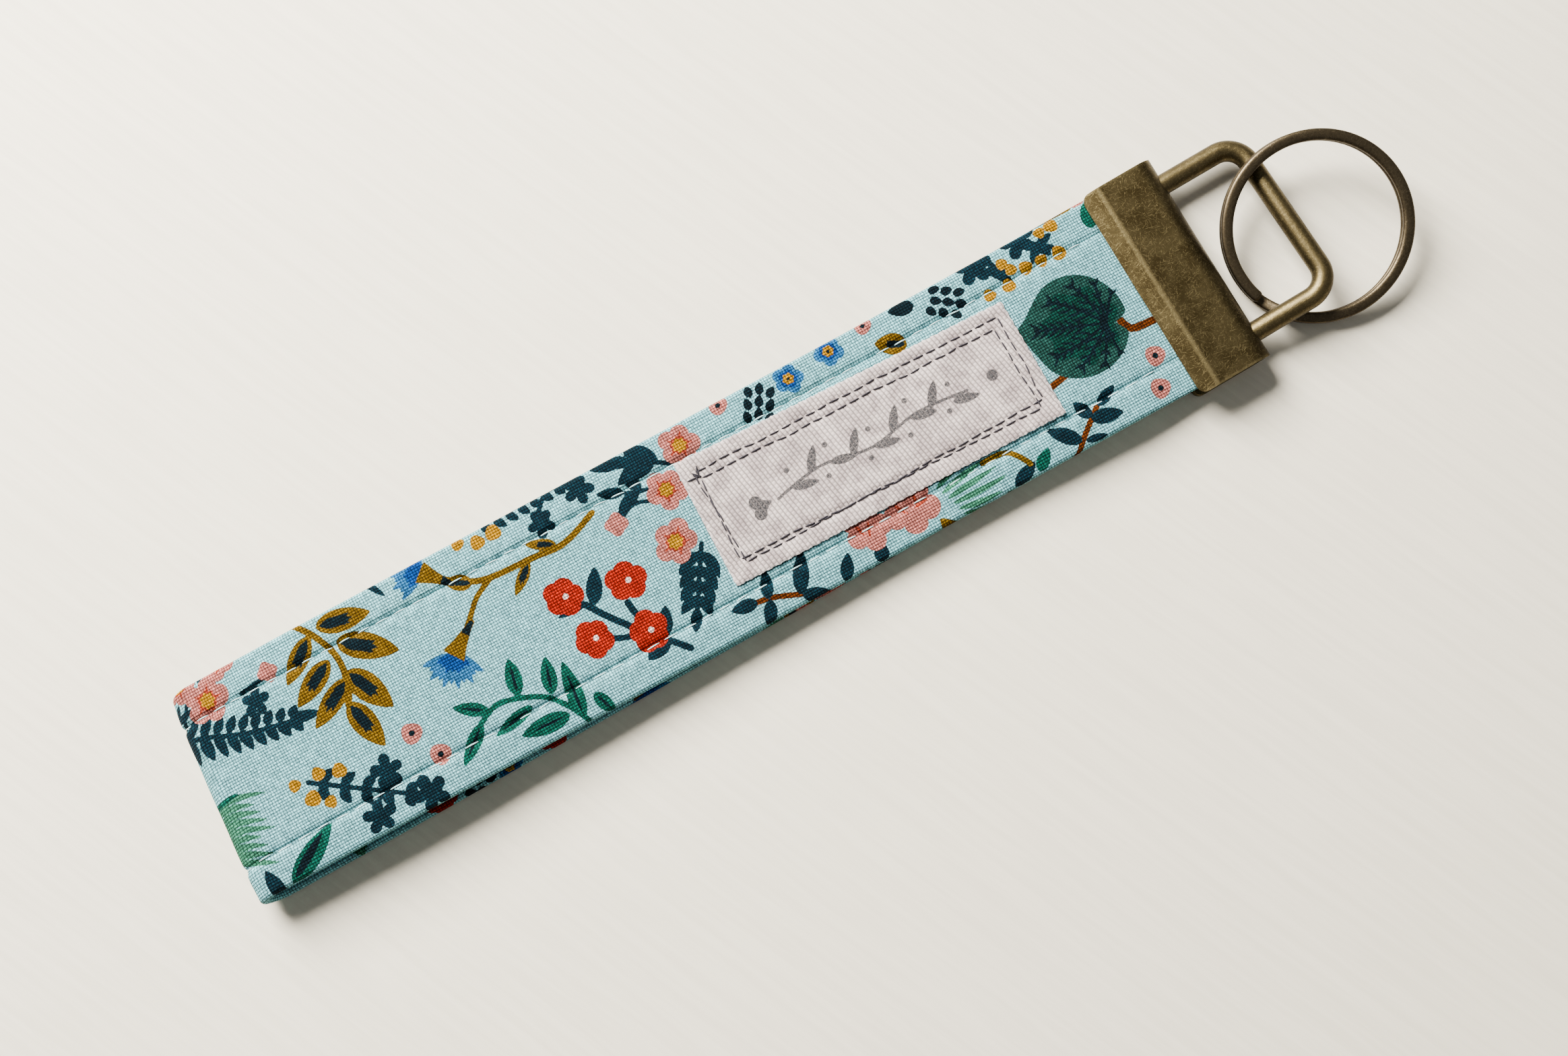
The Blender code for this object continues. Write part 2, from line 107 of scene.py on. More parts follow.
# The order in which the inks lie over each other.
inks = ["mint", "brown", "green", "teal", "deepGreen", "navy", "blue", "deep", "gold", "pink", "coral",
        "red", "yellow", "dark", "spark"]


def smooth(t):
    # 3 t^2 - 2 t^3 between 0 and 1, level outside.
    t = np.clip(t, 0, 1)
    return t * t * (3 - 2 * t)


def heights(knots, at):
    # Cubic Hermite curve through the knots, with their neighbours' slope at each and level at both ends.
    x, y = np.array(knots, float).T
    slope = np.zeros(len(x))
    slope[1:-1] = (y[2:] - y[:-2]) / (x[2:] - x[:-2])
    i = np.clip(np.searchsorted(x, at) - 1, 0, len(x) - 2)
    width = x[i + 1] - x[i]
    t = np.clip((at - x[i]) / width, 0, 1)
    return (y[i] * (1 + 2 * t) * (1 - t) ** 2 + slope[i] * width * t * (1 - t) ** 2
            + y[i + 1] * t * t * (3 - 2 * t) - slope[i + 1] * width * t * t * (1 - t))


halfFlat = strap["width"] / 2 - strap["edge"]
edgeArc = math.pi * strap["edge"]
aroundReach = 2 * halfFlat + edgeArc
foldCentre = strap["foldRadius"] + strap["thickness"] / 2
foldQuarter = math.pi / 2 * strap["foldRadius"]


def clothAt(distance):
    # Cloth coordinate of a place on the upper layer, whose distance from the fold's outside is known.
    return distance - foldCentre + foldQuarter


def strapLine(s):
    # The middle of the strap's thickness at cloth coordinate s: the upper layer for s above 0, the lower
    # one below, and a half circle between them. Gives centre, outward direction, thickness and distance.
    u = np.maximum(np.abs(s) - foldQuarter + foldCentre, foldCentre)
    turn = np.clip((foldQuarter - s) / foldQuarter, 0, 2) * math.pi / 2
    inFold = np.abs(s) < foldQuarter
    step = 0.1
    parts = []
    for knots, sign in ((strap["upper"], 1), (strap["lower"], -1)):
        rise = (heights(knots, u + step) - heights(knots, u - step)) / (2 * step)
        parts.append((heights(knots, u), -sign * rise, sign * np.ones_like(u)))
    z, nx, nz = (np.where(s > 0, a, b) for a, b in zip(*parts))
    nx, nz = np.where(inFold, -np.sin(turn), nx), np.where(inFold, np.cos(turn), nz)
    size = np.hypot(nx, nz)
    outward = np.stack([nx / size, 0 * nx, nz / size], -1)
    lowerY = np.interp(u, *np.array(strap["lowerSkew"]).T)
    y = strap["middle"] + lowerY * np.where(inFold, turn / math.pi, s < 0)
    x = strap["foldX"] + np.where(inFold, foldCentre + strap["foldRadius"] * outward[..., 0], u)
    z = np.where(inFold, foldCentre + strap["foldRadius"] * outward[..., 2], z)
    near = smooth(1 - np.abs(u - strap["mouth"]) / strap["pinchReach"])
    thickness = strap["thickness"] + (strap["pinched"] - strap["thickness"]) * near
    return np.stack([x, y, z], -1), outward, thickness, u


def faceHeight(s, y, thickness):
    # Half-thickness over the middle surface: level, dipping into the two sewn ditches, more at each
    # needle hole, and falling away outside them.
    share = thickness / strap["thickness"]
    off = np.abs(y) - topstitch["line"]
    beat = 0.5 + 0.5 * np.cos(2 * math.pi * s / topstitch["length"])
    ditch = topstitch["ditch"] * np.exp(-(off / 0.42) ** 2)
    pucker = topstitch["pucker"] * beat * np.exp(-(off / 1.2) ** 2)
    fall = 0.24 * smooth((off - 0.6) / 4.0)
    return thickness / 2 - share * (ditch + pucker + fall)


def ripple(s, t):
    # Low waves in the cloth: a sum of sines in several directions.
    waves = [(0.31, 0.12, 0.4), (0.17, -0.42, 1.9), (0.52, 0.36, 3.1), (-0.23, 0.71, 0.7), (0.09, 0.23, 5.0)]
    total = sum(np.sin(a * s + b * t + c) for a, b, c in waves) / len(waves)
    return strap["ripple"] * total


def besideLine(centre, offset, y):
    # The point at an offset from the strap's middle line and y to its side. Near the fold it is sheared
    # along the strap, since the fold isn't quite square to it.
    point = centre + offset
    point[..., 1] += y
    near = 1 - smooth((centre[..., 0] - strap["foldX"]) / strap["skewReach"])
    point[..., 0] += strap["foldSkew"] * y * near
    return point


def strapPoint(s, y, face, lift=0.0):
    # A point on the strap's outer (face 1) or inner (face -1) side, lift above the cloth, and its normal.
    centre, outward, thickness, _ = strapLine(s)
    n = face * (faceHeight(s, y, thickness) + lift)
    return besideLine(centre, outward * n[..., None], y), outward * face


def strapSection(s, t, inset=0.0):
    # The closed outline carried along s: t runs from the middle of the inner face over one edge, the
    # outer face and the other edge back again.
    half, arc = halfFlat, edgeArc
    away = np.abs(t)
    onEdge = (away > half) & (away < half + arc)
    angle = math.pi / 2 - np.clip((away - half) / strap["edge"], 0, math.pi)
    centre, outward, thickness, u = strapLine(s)
    straight = np.where(away < half, away, np.where(away < half + arc, half, 2 * half + arc - away))
    y = np.sign(t) * (straight + np.where(onEdge, (strap["edge"] - inset) * np.cos(angle), 0))
    flat = np.maximum(faceHeight(s, np.minimum(np.abs(y), half), thickness) - inset, 0.05)
    n = flat * np.where(away < half, 1, np.where(away < half + arc, np.sin(angle), -1))
    if inset == 0:
        n = n + ripple(s, t) * smooth((strap["mouth"] - u) / 12) * smooth(thickness - 0.9)
    return besideLine(centre, outward * n[..., None], y)


# The cotton's print: leaves, dots and lines as distances to their outlines. A place is (distance from
# the fold's outside, distance across from the strap's middle line), in millimetres of cloth.
design = []


def leaf(ink, x, y, angle, length, width, bend=0.0):
    # A pointed leaf from its base at x, y: widest before its middle, and its spine bows by bend.
    c, s = math.cos(math.radians(angle)), math.sin(math.radians(angle))

    def distance(dx, dy):
        along = (dx * c + dy * s) / length
        inside = np.clip(along, 0, 1)
        across = dy * c - dx * s - bend * 4 * along * (1 - along)
        half = 1.337 * width * inside ** 0.6 * (1 - inside) ** 0.85
        return np.maximum(np.abs(across) - half, length * (np.abs(along - 0.5) - 0.5))
    design.append((ink, x, y, length + abs(bend) + 1, distance))


def flare(ink, x, y, angle, length, narrow, wide):
    # A cup that opens from a narrow foot at x, y to a wide mouth.
    c, s = math.cos(math.radians(angle)), math.sin(math.radians(angle))

    def distance(dx, dy):
        along = (dx * c + dy * s) / length
        half = (narrow + (wide - narrow) * np.clip(along, 0, 1) ** 1.6) / 2
        return np.maximum(np.abs(dy * c - dx * s) - half, length * (np.abs(along - 0.5) - 0.5))
    design.append((ink, x, y, length + wide, distance))


def flower(ink, x, y, radius, petals, turn=0.0, notch=0.3):
    # Round petals with sharp notches between them.
    def distance(dx, dy):
        around = np.arctan2(dy, dx)
        lobe = np.abs(np.cos(petals / 2 * around + turn)) ** 0.6
        uneven = 1 + 0.05 * np.sin(2 * around + 7 * turn)
        return np.hypot(dx, dy) - radius * uneven * (1 - notch + notch * lobe)
    design.append((ink, x, y, radius * 1.2 + 1, distance))


def dot(ink, x, y, radius, lobes=0, wobble=0.0, turn=0.0):
    # A round shape whose radius swells and shrinks lobes times round it.
    def distance(dx, dy):
        around = np.arctan2(dy, dx)
        return np.hypot(dx, dy) - radius * (1 + wobble * np.cos(lobes * around + turn))
    design.append((ink, x, y, radius * 1.5 + 1, distance))


def line(ink, knots, width):
    # A curved stem through three or more knots, as short straight runs.
    knots = np.array(knots, float)
    ways = np.linspace(0, len(knots) - 1, 6 * len(knots))
    path = np.stack([heights([(i, v) for i, v in enumerate(axis)], ways) for axis in knots.T], -1)
    middle, size = path.mean(0), np.ptp(path, 0).max()
    a, b = path[:-1] - middle, path[1:] - middle
    run = b - a

    def distance(dx, dy):
        p = np.stack([dx, dy], -1)[:, None, :] - a
        share = np.clip((p * run).sum(-1) / np.maximum((run * run).sum(-1), 1e-9), 0, 1)
        return np.linalg.norm(p - share[..., None] * run, axis=-1).min(1) - width / 2
    design.append((ink, *middle, size + 1, distance))


def polar(x, y, angle, reach):
    # The point at a reach from x, y along an angle in degrees.
    return x + reach * math.cos(math.radians(angle)), y + reach * math.sin(math.radians(angle))


def leaves(ink, rows):
    # Several leaves in one ink, each as its base, angle, length and width.
    for row in rows:
        leaf(ink, *row)


def blossom(x, y, radius, turn=0.0):
    # A pink flower with a coral stroke on each petal and a yellow eye.
    flower("pink", x, y, radius, 5, turn)
    for k in range(5):
        angle = 72 * k - math.degrees(turn) * 0.4
        leaf("coral", *polar(x, y, angle, radius * 0.3), angle, radius * 0.42, radius * 0.1)
    dot("coral", x, y, radius * 0.42, 9, 0.1)
    dot("yellow", x, y, radius * 0.32, 7, 0.16, 1.0)
    for k in range(5):
        dot("coral", *polar(x, y, 72 * k + 20, radius * 0.15), radius * 0.045)


def fan(ink, x, y, angle, size, count=5, spread=230, width=0.5):
    # Leaves spread evenly about an angle, every other one a little shorter.
    for k in range(count):
        lean = angle + spread * (k / (count - 1) - 0.5)
        leaf(ink, x, y, lean, size * (1 - 0.12 * (k % 2)), size * width)


def tuft(ink, x, y, angle, size):
    # Five rounded lobes round the end of a twig.
    flower(ink, *polar(x, y, angle, size * 0.3), size * 0.82, 5, angle, 0.62)


def spray(ink, x, y, angle, length, pairs, leafLength, leafWidth, stem=0.5, spread=48, bend=0.0):
    # A stem with pairs of leaves, smaller towards its tip, and one at the end; the stem bows by bend.
    def onStem(share):
        return polar(*polar(x, y, angle, length * share), angle + 90, bend * 4 * share * (1 - share))

    line(ink, [onStem(share) for share in (0, 0.35, 0.7, 1)], stem)
    for k in range(pairs):
        share = (k + 0.6) / (pairs + 0.4)
        size = leafLength * (1 - 0.35 * share)
        for sign in (1, -1):
            leaf(ink, *onStem(share), angle + sign * spread, size, leafWidth, sign * 0.08 * size)
    leaf(ink, *onStem(1), angle, leafLength * 0.7, leafWidth)


def shadedLeaf(x, y, angle, length, width):
    # A gold leaf with its base half shaded by a few dark strokes that spread from the midrib.
    leaf("gold", x, y, angle, length, width)
    leaf("dark", *polar(x, y, angle, length * 0.06), angle, length * 0.62, width * 0.3)
    for k in range(4):
        foot = polar(x, y, angle, length * (0.1 + 0.1 * k))
        for sign in (1, -1):
            leaf("dark", *foot, angle + sign * 24, length * 0.24, width * 0.17)


def thistle(x, y, angle, size, lean=0.0):
    # A blue tuft fanned out of a gold cup, whose mouth is at x, y; the tuft may lean from the cup's line.
    for k in range(11):
        swing = (k - 5) * 13
        way = angle + lean + swing
        leaf("blue", *polar(x, y, way, -0.1 * size), way, size * (1.3 - 0.16 * (k % 2)), size * 0.34)
    fan("deep", x, y, angle + lean, size * 0.7, 7, 120, 0.34)
    flare("gold", *polar(x, y, angle, -1.35 * size), angle, size * 1.4, size * 0.2, size * 0.84)
    flare("dark", *polar(x, y, angle, -1.3 * size), angle, size * 0.5, size * 0.16, size * 0.34)


def grass(a, b, first, last, count, length):
    # Blades side by side from a to b, their lean changing from the first to the last.
    for k in range(count):
        share = k / (count - 1)
        foot = (a[0] + (b[0] - a[0]) * share, a[1] + (b[1] - a[1]) * share)
        size = length * (1 - 0.07 * ((k * 7) % 4))
        leaf("mint", *foot, first + (last - first) * share, size, 0.95, 0.5 - share)


def bloom(x, y, radius, turn=0.0):
    # A red flower with a pale spot.
    flower("red", x, y, radius, 5, turn, 0.2)
    dot("spark", x + radius * 0.1, y, radius * 0.15)


def eye(x, y, radius):
    # A pink disc with a dark middle.
    dot("pink", x, y, radius, 3, 0.06)
    dot("dark", x, y, radius * 0.3)


def bluet(x, y, radius, turn=0.0):
    # A small blue flower in two tones with a yellow middle.
    flower("blue", x, y, radius, 5, turn)
    flower("deep", x, y, radius * 0.62, 5, turn)
    dot("yellow", x, y, radius * 0.36, 6, 0.12)
    dot("dark", x, y, radius * 0.12)


def seeds(x, y, count, angle):
    # A cluster of oval seeds in three rows.
    for k in range(count):
        row, place = k % 3 - 1, k // 3
        px, py = polar(x, y, angle, place * 1.85 - 1.8 + 0.5 * (row == 0))
        px, py = polar(px, py, angle + 90, row * 1.6)
        lean = angle + 25 * row
        leaf("dark", *polar(px, py, lean, -0.85), lean, 1.9, 1.35)


def berries(places, radius=0.8):
    # Yellow dots that differ a little in size and roundness.
    for k, (x, y) in enumerate(places):
        dot("yellow", x, y, radius * (0.85 + 0.08 * (k % 4)), 3, 0.08, k)


def heartLeaf(x, y, angle, radius):
    # A nearly round leaf with a point towards angle and a notch for its stalk opposite, veined from the
    # notch.
    c, s = math.cos(math.radians(angle)), math.sin(math.radians(angle))

    def distance(dx, dy):
        along, across = dx * c + dy * s, dy * c - dx * s
        around = np.abs(np.arctan2(across, along))
        size = 1 + 0.15 * np.exp(-(around / 0.17) ** 2) - 0.05 * np.exp(-((around - 0.6) / 0.3) ** 2)
        return np.hypot(along, across) - radius * (size - 0.25 * np.exp(-((around - math.pi) / 0.13) ** 2))
    design.append(("teal", x, y, radius * 1.3, distance))
    root = polar(x, y, angle + 180, radius * 0.56)
    dot("deepGreen", *polar(x, y, angle + 180, radius * 0.08), radius * 0.7, 7, 0.12)
    for k in range(-4, 5):
        way, reach = angle + 27 * k, radius * (1.36 - 0.18 * abs(k))
        bow = polar(*polar(*root, way, reach * 0.5), angle + 90, 0.5 * np.sign(k))
        line("dark", [root, bow, polar(*root, way, reach)], 0.42)
        for share in np.linspace(0.3, 0.9, 6 - abs(k)):
            for sign in (1, -1):
                leaf("dark", *polar(*root, way, reach * share), way + sign * 34, reach * 0.25, 0.4)


def drawFront():
    # The outer face of the upper layer, from the fold to the clamp.
    blossom(2.4, 16.4, 2.6, 0.4)
    blossom(9.0, 17.0, 2.9, 1.2)
    blossom(5.8, 12.6, 3.4, 0.1)
    dot("pink", 15.6, 12.1, 1.4, 4, 0.12)
    line("navy", [(14.8, 11.6), (12.6, 11.4), (10.8, 11.2)], 0.6)
    tuft("navy", 11.4, 9.2, 0, 2.7)
    line("navy", [(3.0, 13.8), (1.6, 11.4), (0.4, 9.6)], 0.55)
    leaf("navy", 5.4, 15.6, 55, 2.6, 1.1)
    fan("navy", 0.4, 12.0, 60, 3.0, 3, 100, 0.36)
    leaf("navy", -0.6, 8.6, 28, 4.6, 1.1)
    line("navy", [(0.0, 9.6), (8.6, 6.0), (17.0, 4.0)], 0.7)
    for k in range(9):
        px, py = 1.2 + 1.8 * k, 9.2 - 0.72 * k + 0.02 * k * k
        leaf("navy", px, py, -88 + 2 * k, 4.2 - 0.2 * k, 1.6)
        leaf("navy", px, py, 42, 3.0 - 0.12 * k, 1.5)
    leaf("navy", 15.4, 4.6, -14, 4.6, 1.7)
    grass((-1.0, -1.2), (-1.6, -7.2), -10, -34, 9, 9.2)
    leaf("green", -0.6, -1.2, 2, 5.4, 0.8)
    line("gold", [(20.9, 17.1), (23.7, 13.3), (25.2, 8.9), (24.6, 4.7), (23.5, 2.5)], 0.95)
    for row in ((24.4, 14.4, -12, 8.0, 3.4), (26.0, 11.2, -36, 9.0, 3.9), (25.4, 6.8, -65, 8.4, 3.9),
                (23.6, 2.7, -77, 8.0, 3.6), (25.0, 5.9, -149, 8.2, 3.0), (23.9, 9.4, -150, 7.8, 3.1),
                (22.9, 13.7, -140, 7.4, 2.9)):
        shadedLeaf(*row)
    berries([(11.8, -3.9), (15.4, -4.0), (18.2, -5.0), (13.2, -6.7), (15.2, -8.3)], 1.05)
    spray("navy", 13.6, -4.4, -35, 16.5, 5, 3.0, 1.6, 0.7, 55)
    tuft("navy", 19.8, -12.6, -60, 3.0)
    line("navy", [(22.6, -9.8), (21.4, -11.2), (19.8, -12.6)], 0.6)
    tuft("navy", 23.4, -9.0, 50, 3.0)
    tuft("navy", 27.0, -13.6, -20, 3.4)
    leaf("green", 6.0, -15.8, 32, 9.3, 3.0)
    leaf("dark", 6.6, -15.2, 34, 7.0, 1.2)
    leaf("navy", 4.2, -17.2, 100, 5.0, 2.0)
    leaf("navy", -1.9, -15.8, 48, 3.4, 1.4)
    eye(29.4, -5.3, 1.5)
    eye(31.6, -9.8, 1.5)
    thistle(40.9, 14.2, 132, 3.9, 12)
    thistle(39.7, 1.6, -145, 4.1, 22)
    line("gold", [(42.4, 12.6), (45.2, 10.4), (48.9, 8.9), (55.4, 8.5), (60.8, 8.2), (66.2, 10.2)], 0.95)
    line("gold", [(49.6, 8.9), (46.4, 7.4), (44.1, 5.2), (42.4, 3.6)], 0.8)
    shadedLeaf(59.6, 8.6, 152, 4.6, 1.7)
    shadedLeaf(55.0, 8.2, -139, 5.2, 1.7)
    shadedLeaf(46.6, 9.4, 150, 4.0, 2.4)
    leaf("navy", 33.0, 17.2, -60, 4.2, 1.0)
    berries([(47.3, 15.4), (49.9, 14.2), (52.5, 14.4)], 1.15)
    spray("navy", 50.4, 16.6, -2, 14.5, 7, 2.8, 1.4, 0.7, 58)
    tuft("navy", 59.0, 13.0, -80, 2.6)
    tuft("navy", 65.4, 14.6, -40, 2.8)
    line("navy", [(61.6, 16.0), (60.2, 14.6), (59.0, 13.0)], 0.7)
    line("navy", [(79.6, 11.0), (77.0, 12.6), (72.4, 15.2)], 0.7)
    leaves("navy", [(77.4, 12.4, 185, 5.0, 2.0), (77.8, 12.2, 118, 4.6, 2.0), (75.6, 13.4, 200, 4.6, 2.0),
                    (75.6, 13.4, 104, 4.0, 2.0), (73.4, 14.6, 165, 5.0, 2.0),
                    (74.6, 13.8, 150, 5.4, 2.0)])
    line("navy", [(75.2, 9.2), (72.6, 10.0), (70.4, 11.2)], 0.6)
    leaves("navy", [(73.6, 9.8, 195, 4.0, 1.7), (74.0, 9.8, 120, 3.2, 1.7), (71.6, 10.6, 158, 4.0, 1.7)])
    line("navy", [(74.4, 7.6), (72.0, 8.4), (69.6, 7.4)], 0.6)
    leaf("navy", 71.4, 8.6, 200, 2.8, 1.3)
    for x, y, r, turn in ((81.8, 12.8, 3.1, 0.5), (77.1, 8.0, 3.1, 1.4), (74.7, 0.8, 3.3, 0.9)):
        blossom(x, y, r, turn)
    dot("pink", 68.5, 7.0, 1.6, 4, 0.12, 1.2)
    spray("navy", 77.8, -1.2, -122, 9.4, 4, 4.8, 1.75, 0.7, 40)
    for x, y, r in ((57.0, 1.4, 2.9), (65.9, -0.8, 3.0), (58.0, -5.9, 2.85), (65.4, -8.6, 3.0)):
        bloom(x, y, r, x)
    line("navy", [(59.2, -1.0), (61.2, -4.0), (63.4, -6.8)], 1.0)
    line("navy", [(64.6, -3.6), (64.8, -5.0), (65.0, -6.2)], 1.0)
    line("navy", [(60.2, -7.0), (61.4, -7.6), (62.6, -8.0)], 0.9)
    line("navy", [(66.8, -10.6), (68.0, -12.0), (69.4, -13.6)], 1.0)
    leaves("navy", [(60.3, -1.6, 62, 5.4, 2.4), (59.6, -0.8, 180, 4.8, 1.3), (67.0, -10.4, 62, 4.4, 2.2),
                    (67.4, -10.6, -158, 4.4, 2.7)])
    line("green", [(38.4, -8.9), (42.0, -7.5), (47.5, -9.4), (50.2, -12.2), (52.0, -15.6)], 0.8)
    for x, y, a, size, w in ((40.3, -7.7, 147, 5.2, 2.0), (44.9, -7.8, 78, 5.4, 2.4),
                             (49.2, -9.9, 74, 5.4, 2.3), (51.6, -15.0, 84, 8.6, 2.5),
                             (45.9, -10.0, -168, 6.6, 1.9), (50.0, -13.6, 176, 7.4, 2.7),
                             (38.6, -8.8, -140, 6.4, 2.1), (54.4, -12.6, -70, 4.4, 2.0)):
        leaf("green", x, y, a, size, w)
        leaf("dark", *polar(x, y, a, size * 0.1), a, size * 0.75, 0.45)
    eye(89.4, 15.3, 1.4)
    seeds(94.6, 12.4, 9, 60)
    seeds(125.5, 12.8, 9, -35)
    bluet(100.2, 13.8, 2.3, 0.5)
    bluet(107.2, 14.6, 2.3, 1.4)
    eye(113.4, 15.5, 1.3)
    shadedLeaf(117.8, 10.0, 152, 4.8, 3.2)
    leaf("dark", 121.4, 14.6, 168, 4.0, 2.4)
    tuft("navy", 132.6, 14.8, 160, 3.4)
    line("navy", [(132.0, 15.4), (133.4, 13.2), (134.6, 11.4)], 0.8)
    fan("navy", 134.2, 12.4, 20, 2.6, 3, 150, 0.5)
    tuft("navy", 140.0, 15.0, 150, 3.4)
    line("navy", [(139.0, 15.8), (141.0, 13.8), (143.0, 12.2)], 0.8)
    fan("navy", 141.2, 13.4, -60, 2.8, 3, 150, 0.5)
    berries([(135.4, 13.6), (131.7, 10.4), (134.8, 10.3), (144.4, 15.2), (142.4, 15.0), (140.7, 11.2),
             (138.2, 11.4), (143.5, 11.0), (136.2, 12.2)], 1.0)
    leaf("green", 149.6, 12.0, 70, 4.6, 2.6)
    heartLeaf(140.4, 0.3, 158, 7.6)
    line("brown", [(146.4, -2.0), (147.2, -3.6), (149.0, -4.0), (152.6, -4.2)], 1.2)
    line("brown", [(132.2, -5.8), (134.0, -5.4), (136.4, -5.0)], 1.0)
    eye(148.3, -8.8, 1.5)
    eye(146.6, -13.3, 1.5)
    line("brown", [(130.6, -17.0), (133.0, -14.6), (135.4, -12.6), (137.2, -11.2)], 0.85)
    leaves("navy", [(132.9, -14.6, 134, 5.5, 2.3), (135.6, -12.4, -16, 4.8, 2.3),
                    (137.4, -11.2, 24, 3.8, 1.7), (135.8, -12.2, 114, 3.4, 2.0),
                    (133.4, -14.8, -12, 3.4, 1.2)])
    line("brown", [(80.4, -12.4), (83.4, -13.0), (88.6, -15.2)], 0.85)
    leaves("navy", [(80.8, -12.4, 172, 4.0, 2.1), (82.4, -12.8, 70, 4.2, 1.9),
                    (82.6, -13.0, -118, 4.4, 2.0), (86.8, -14.4, 62, 6.4, 2.4),
                    (87.0, -14.6, -30, 5.0, 2.4), (93.4, -16.0, 60, 4.2, 2.0)])
    flower("pink", 99.6, -10.6, 3.6, 5, 0.5)
    flower("pink", 106.6, -11.0, 4.2, 5, 1.2)
    leaves("coral", [(98.2, -9.4, -70, 2.6, 0.45), (100.2, -9.8, -110, 2.6, 0.45),
                     (104.6, -9.6, -60, 2.6, 0.45), (107.8, -9.2, -95, 2.6, 0.45),
                     (109.4, -11.0, 190, 2.6, 0.45)])
    grass((110.8, -9.6), (112.8, -15.4), 22, -12, 7, 9.2)
    leaf("navy", 99.4, -16.2, 75, 3.4, 2.2)
    leaf("navy", 121.4, -15.8, 25, 4.6, 2.1)
    line("gold", [(118.8, -10.4), (122.6, -10.8), (124.8, -13.8)], 0.85)
    leaf("green", 125.4, -15.4, 40, 3.6, 2.0)


def drawSpray(x, y, kind, turn):
    # One of ten motifs, for the parts of the cloth that the front's list doesn't cover.
    if kind == 0:
        spray("navy", x, y, turn, 12, 6, 3.6, 1.5, 0.55, 52)
    elif kind == 1:
        spray("green", x, y, turn, 13, 4, 5.2, 2.1, 0.6, 44, 1.6)
    elif kind == 2:
        blossom(x, y, 3.2, turn)
        dot("pink", x + 5, y + 2.4, 1.5, 4, 0.1)
        leaf("navy", x + 2.6, y + 2.4, turn, 4.2, 1.7)
    elif kind == 3:
        line("gold", [polar(x, y, turn, r) for r in (0, 4, 8, 12)], 0.8)
        for k in range(6):
            shadedLeaf(*polar(x, y, turn, 2 + 1.8 * k), turn + (50 if k % 2 else -50), 6.2, 2.8)
    elif kind == 4:
        bloom(x, y, 2.9, turn)
        bloom(x + 6.2, y - 2.4, 2.8, turn)
        line("navy", [(x + 1, y - 3), (x + 4, y - 5), (x + 8, y - 8)], 0.9)
        leaf("navy", x + 1.6, y - 3.4, 60, 4.6, 2.2)
    elif kind == 5:
        eye(x, y, 1.4)
        berries([(x + 4, y + 1), (x + 5.6, y - 0.6), (x + 4.2, y - 2.4)])
    elif kind == 6:
        grass((x, y), polar(x, y, turn + 90, 4), turn + 12, turn - 12, 7, 7.5)
    elif kind == 7:
        bluet(x, y, 2.1, turn)
        seeds(x + 5.4, y + 1, 9, turn)
    elif kind == 8:
        thistle(x, y, turn, 3.9)
        line("gold", [polar(x, y, turn + 180, r) for r in (4.5, 7, 10)], 0.8)
    else:
        heartLeaf(x, y, turn, 5.2)


def drawElsewhere():
    # The rest of the strip, inner faces and lower layer, takes the same motifs, scattered one to a rough
    # square.
    for x in np.arange(-154, 156, 10.5):
        for y in np.arange(-aroundReach + 4, aroundReach, 10.2):
            px = x + dice.uniform(-2.4, 2.4)
            py = y + dice.uniform(-2.4, 2.4)
            kind = int(dice.integers(0, 10))
            turn = float(dice.uniform(0, 360))
            if px <= -10 or abs(py) >= 24:
                drawSpray(px, py, kind, turn)


def printOn(s, t):
    # For each ink, the distance from every point of the grid to the nearest shape in that ink.
    place = s - clothAt(0)
    values = {ink: np.full(s.shape, 1.0) for ink in inks}
    for ink, x, y, reach, distance in design:
        rows = np.flatnonzero(np.abs(place[:, 0] - x) < reach)
        cols = np.flatnonzero(np.abs(t[0] - y) < reach)
        if len(rows) and len(cols):
            part = np.ix_(rows, cols)
            dx, dy = (place[part] - x).ravel(), (t[part] - y).ravel()
            found = distance(dx, dy).reshape(len(rows), len(cols))
            values[ink][part] = np.minimum(values[ink][part], found)
    return {"ink_" + ink: np.clip(found, -1, 1) for ink, found in values.items()}


def addField(mesh, name, values):
    # A named value at each point, for a material to read.
    mesh.attributes.new(name, "FLOAT", "POINT").data.foreach_set("value", values.ravel().astype(np.float32))


def placed(name, mesh, material):
    # A new object in the scene that shows the mesh in one material.
    mesh.materials.append(material)
    piece = bpy.data.objects.new(name, mesh)
    bpy.context.scene.collection.objects.link(piece)
    return piece


def meshFrom(name, points, faces, material, uv=None, fields=None):
    # A smooth-shaded mesh in metres from points in millimetres, turned so that its faces point outwards.
    first = np.array([face[:3] for face in faces])
    a, b, c = (points[first[:, corner]] for corner in range(3))
    if np.einsum("ij,ij->i", np.cross(b - a, c - a), a - points.mean(0)).sum() < 0:
        faces = [face[::-1] for face in faces]
        uv = None if uv is None else [corner[::-1] for corner in uv]
    mesh = bpy.data.meshes.new(name)
    mesh.from_pydata((points * mm).tolist(), [], faces)
    if uv is not None:
        corners = np.concatenate([np.asarray(corner, float) for corner in uv])
        mesh.uv_layers.new(name="cloth").data.foreach_set("uv", corners.ravel())
    for field, values in (fields or {}).items():
        addField(mesh, field, values)
    mesh.shade_smooth()
    mesh.set_sharp_from_angle(angle=math.radians(60))
    return placed(name, mesh, material)


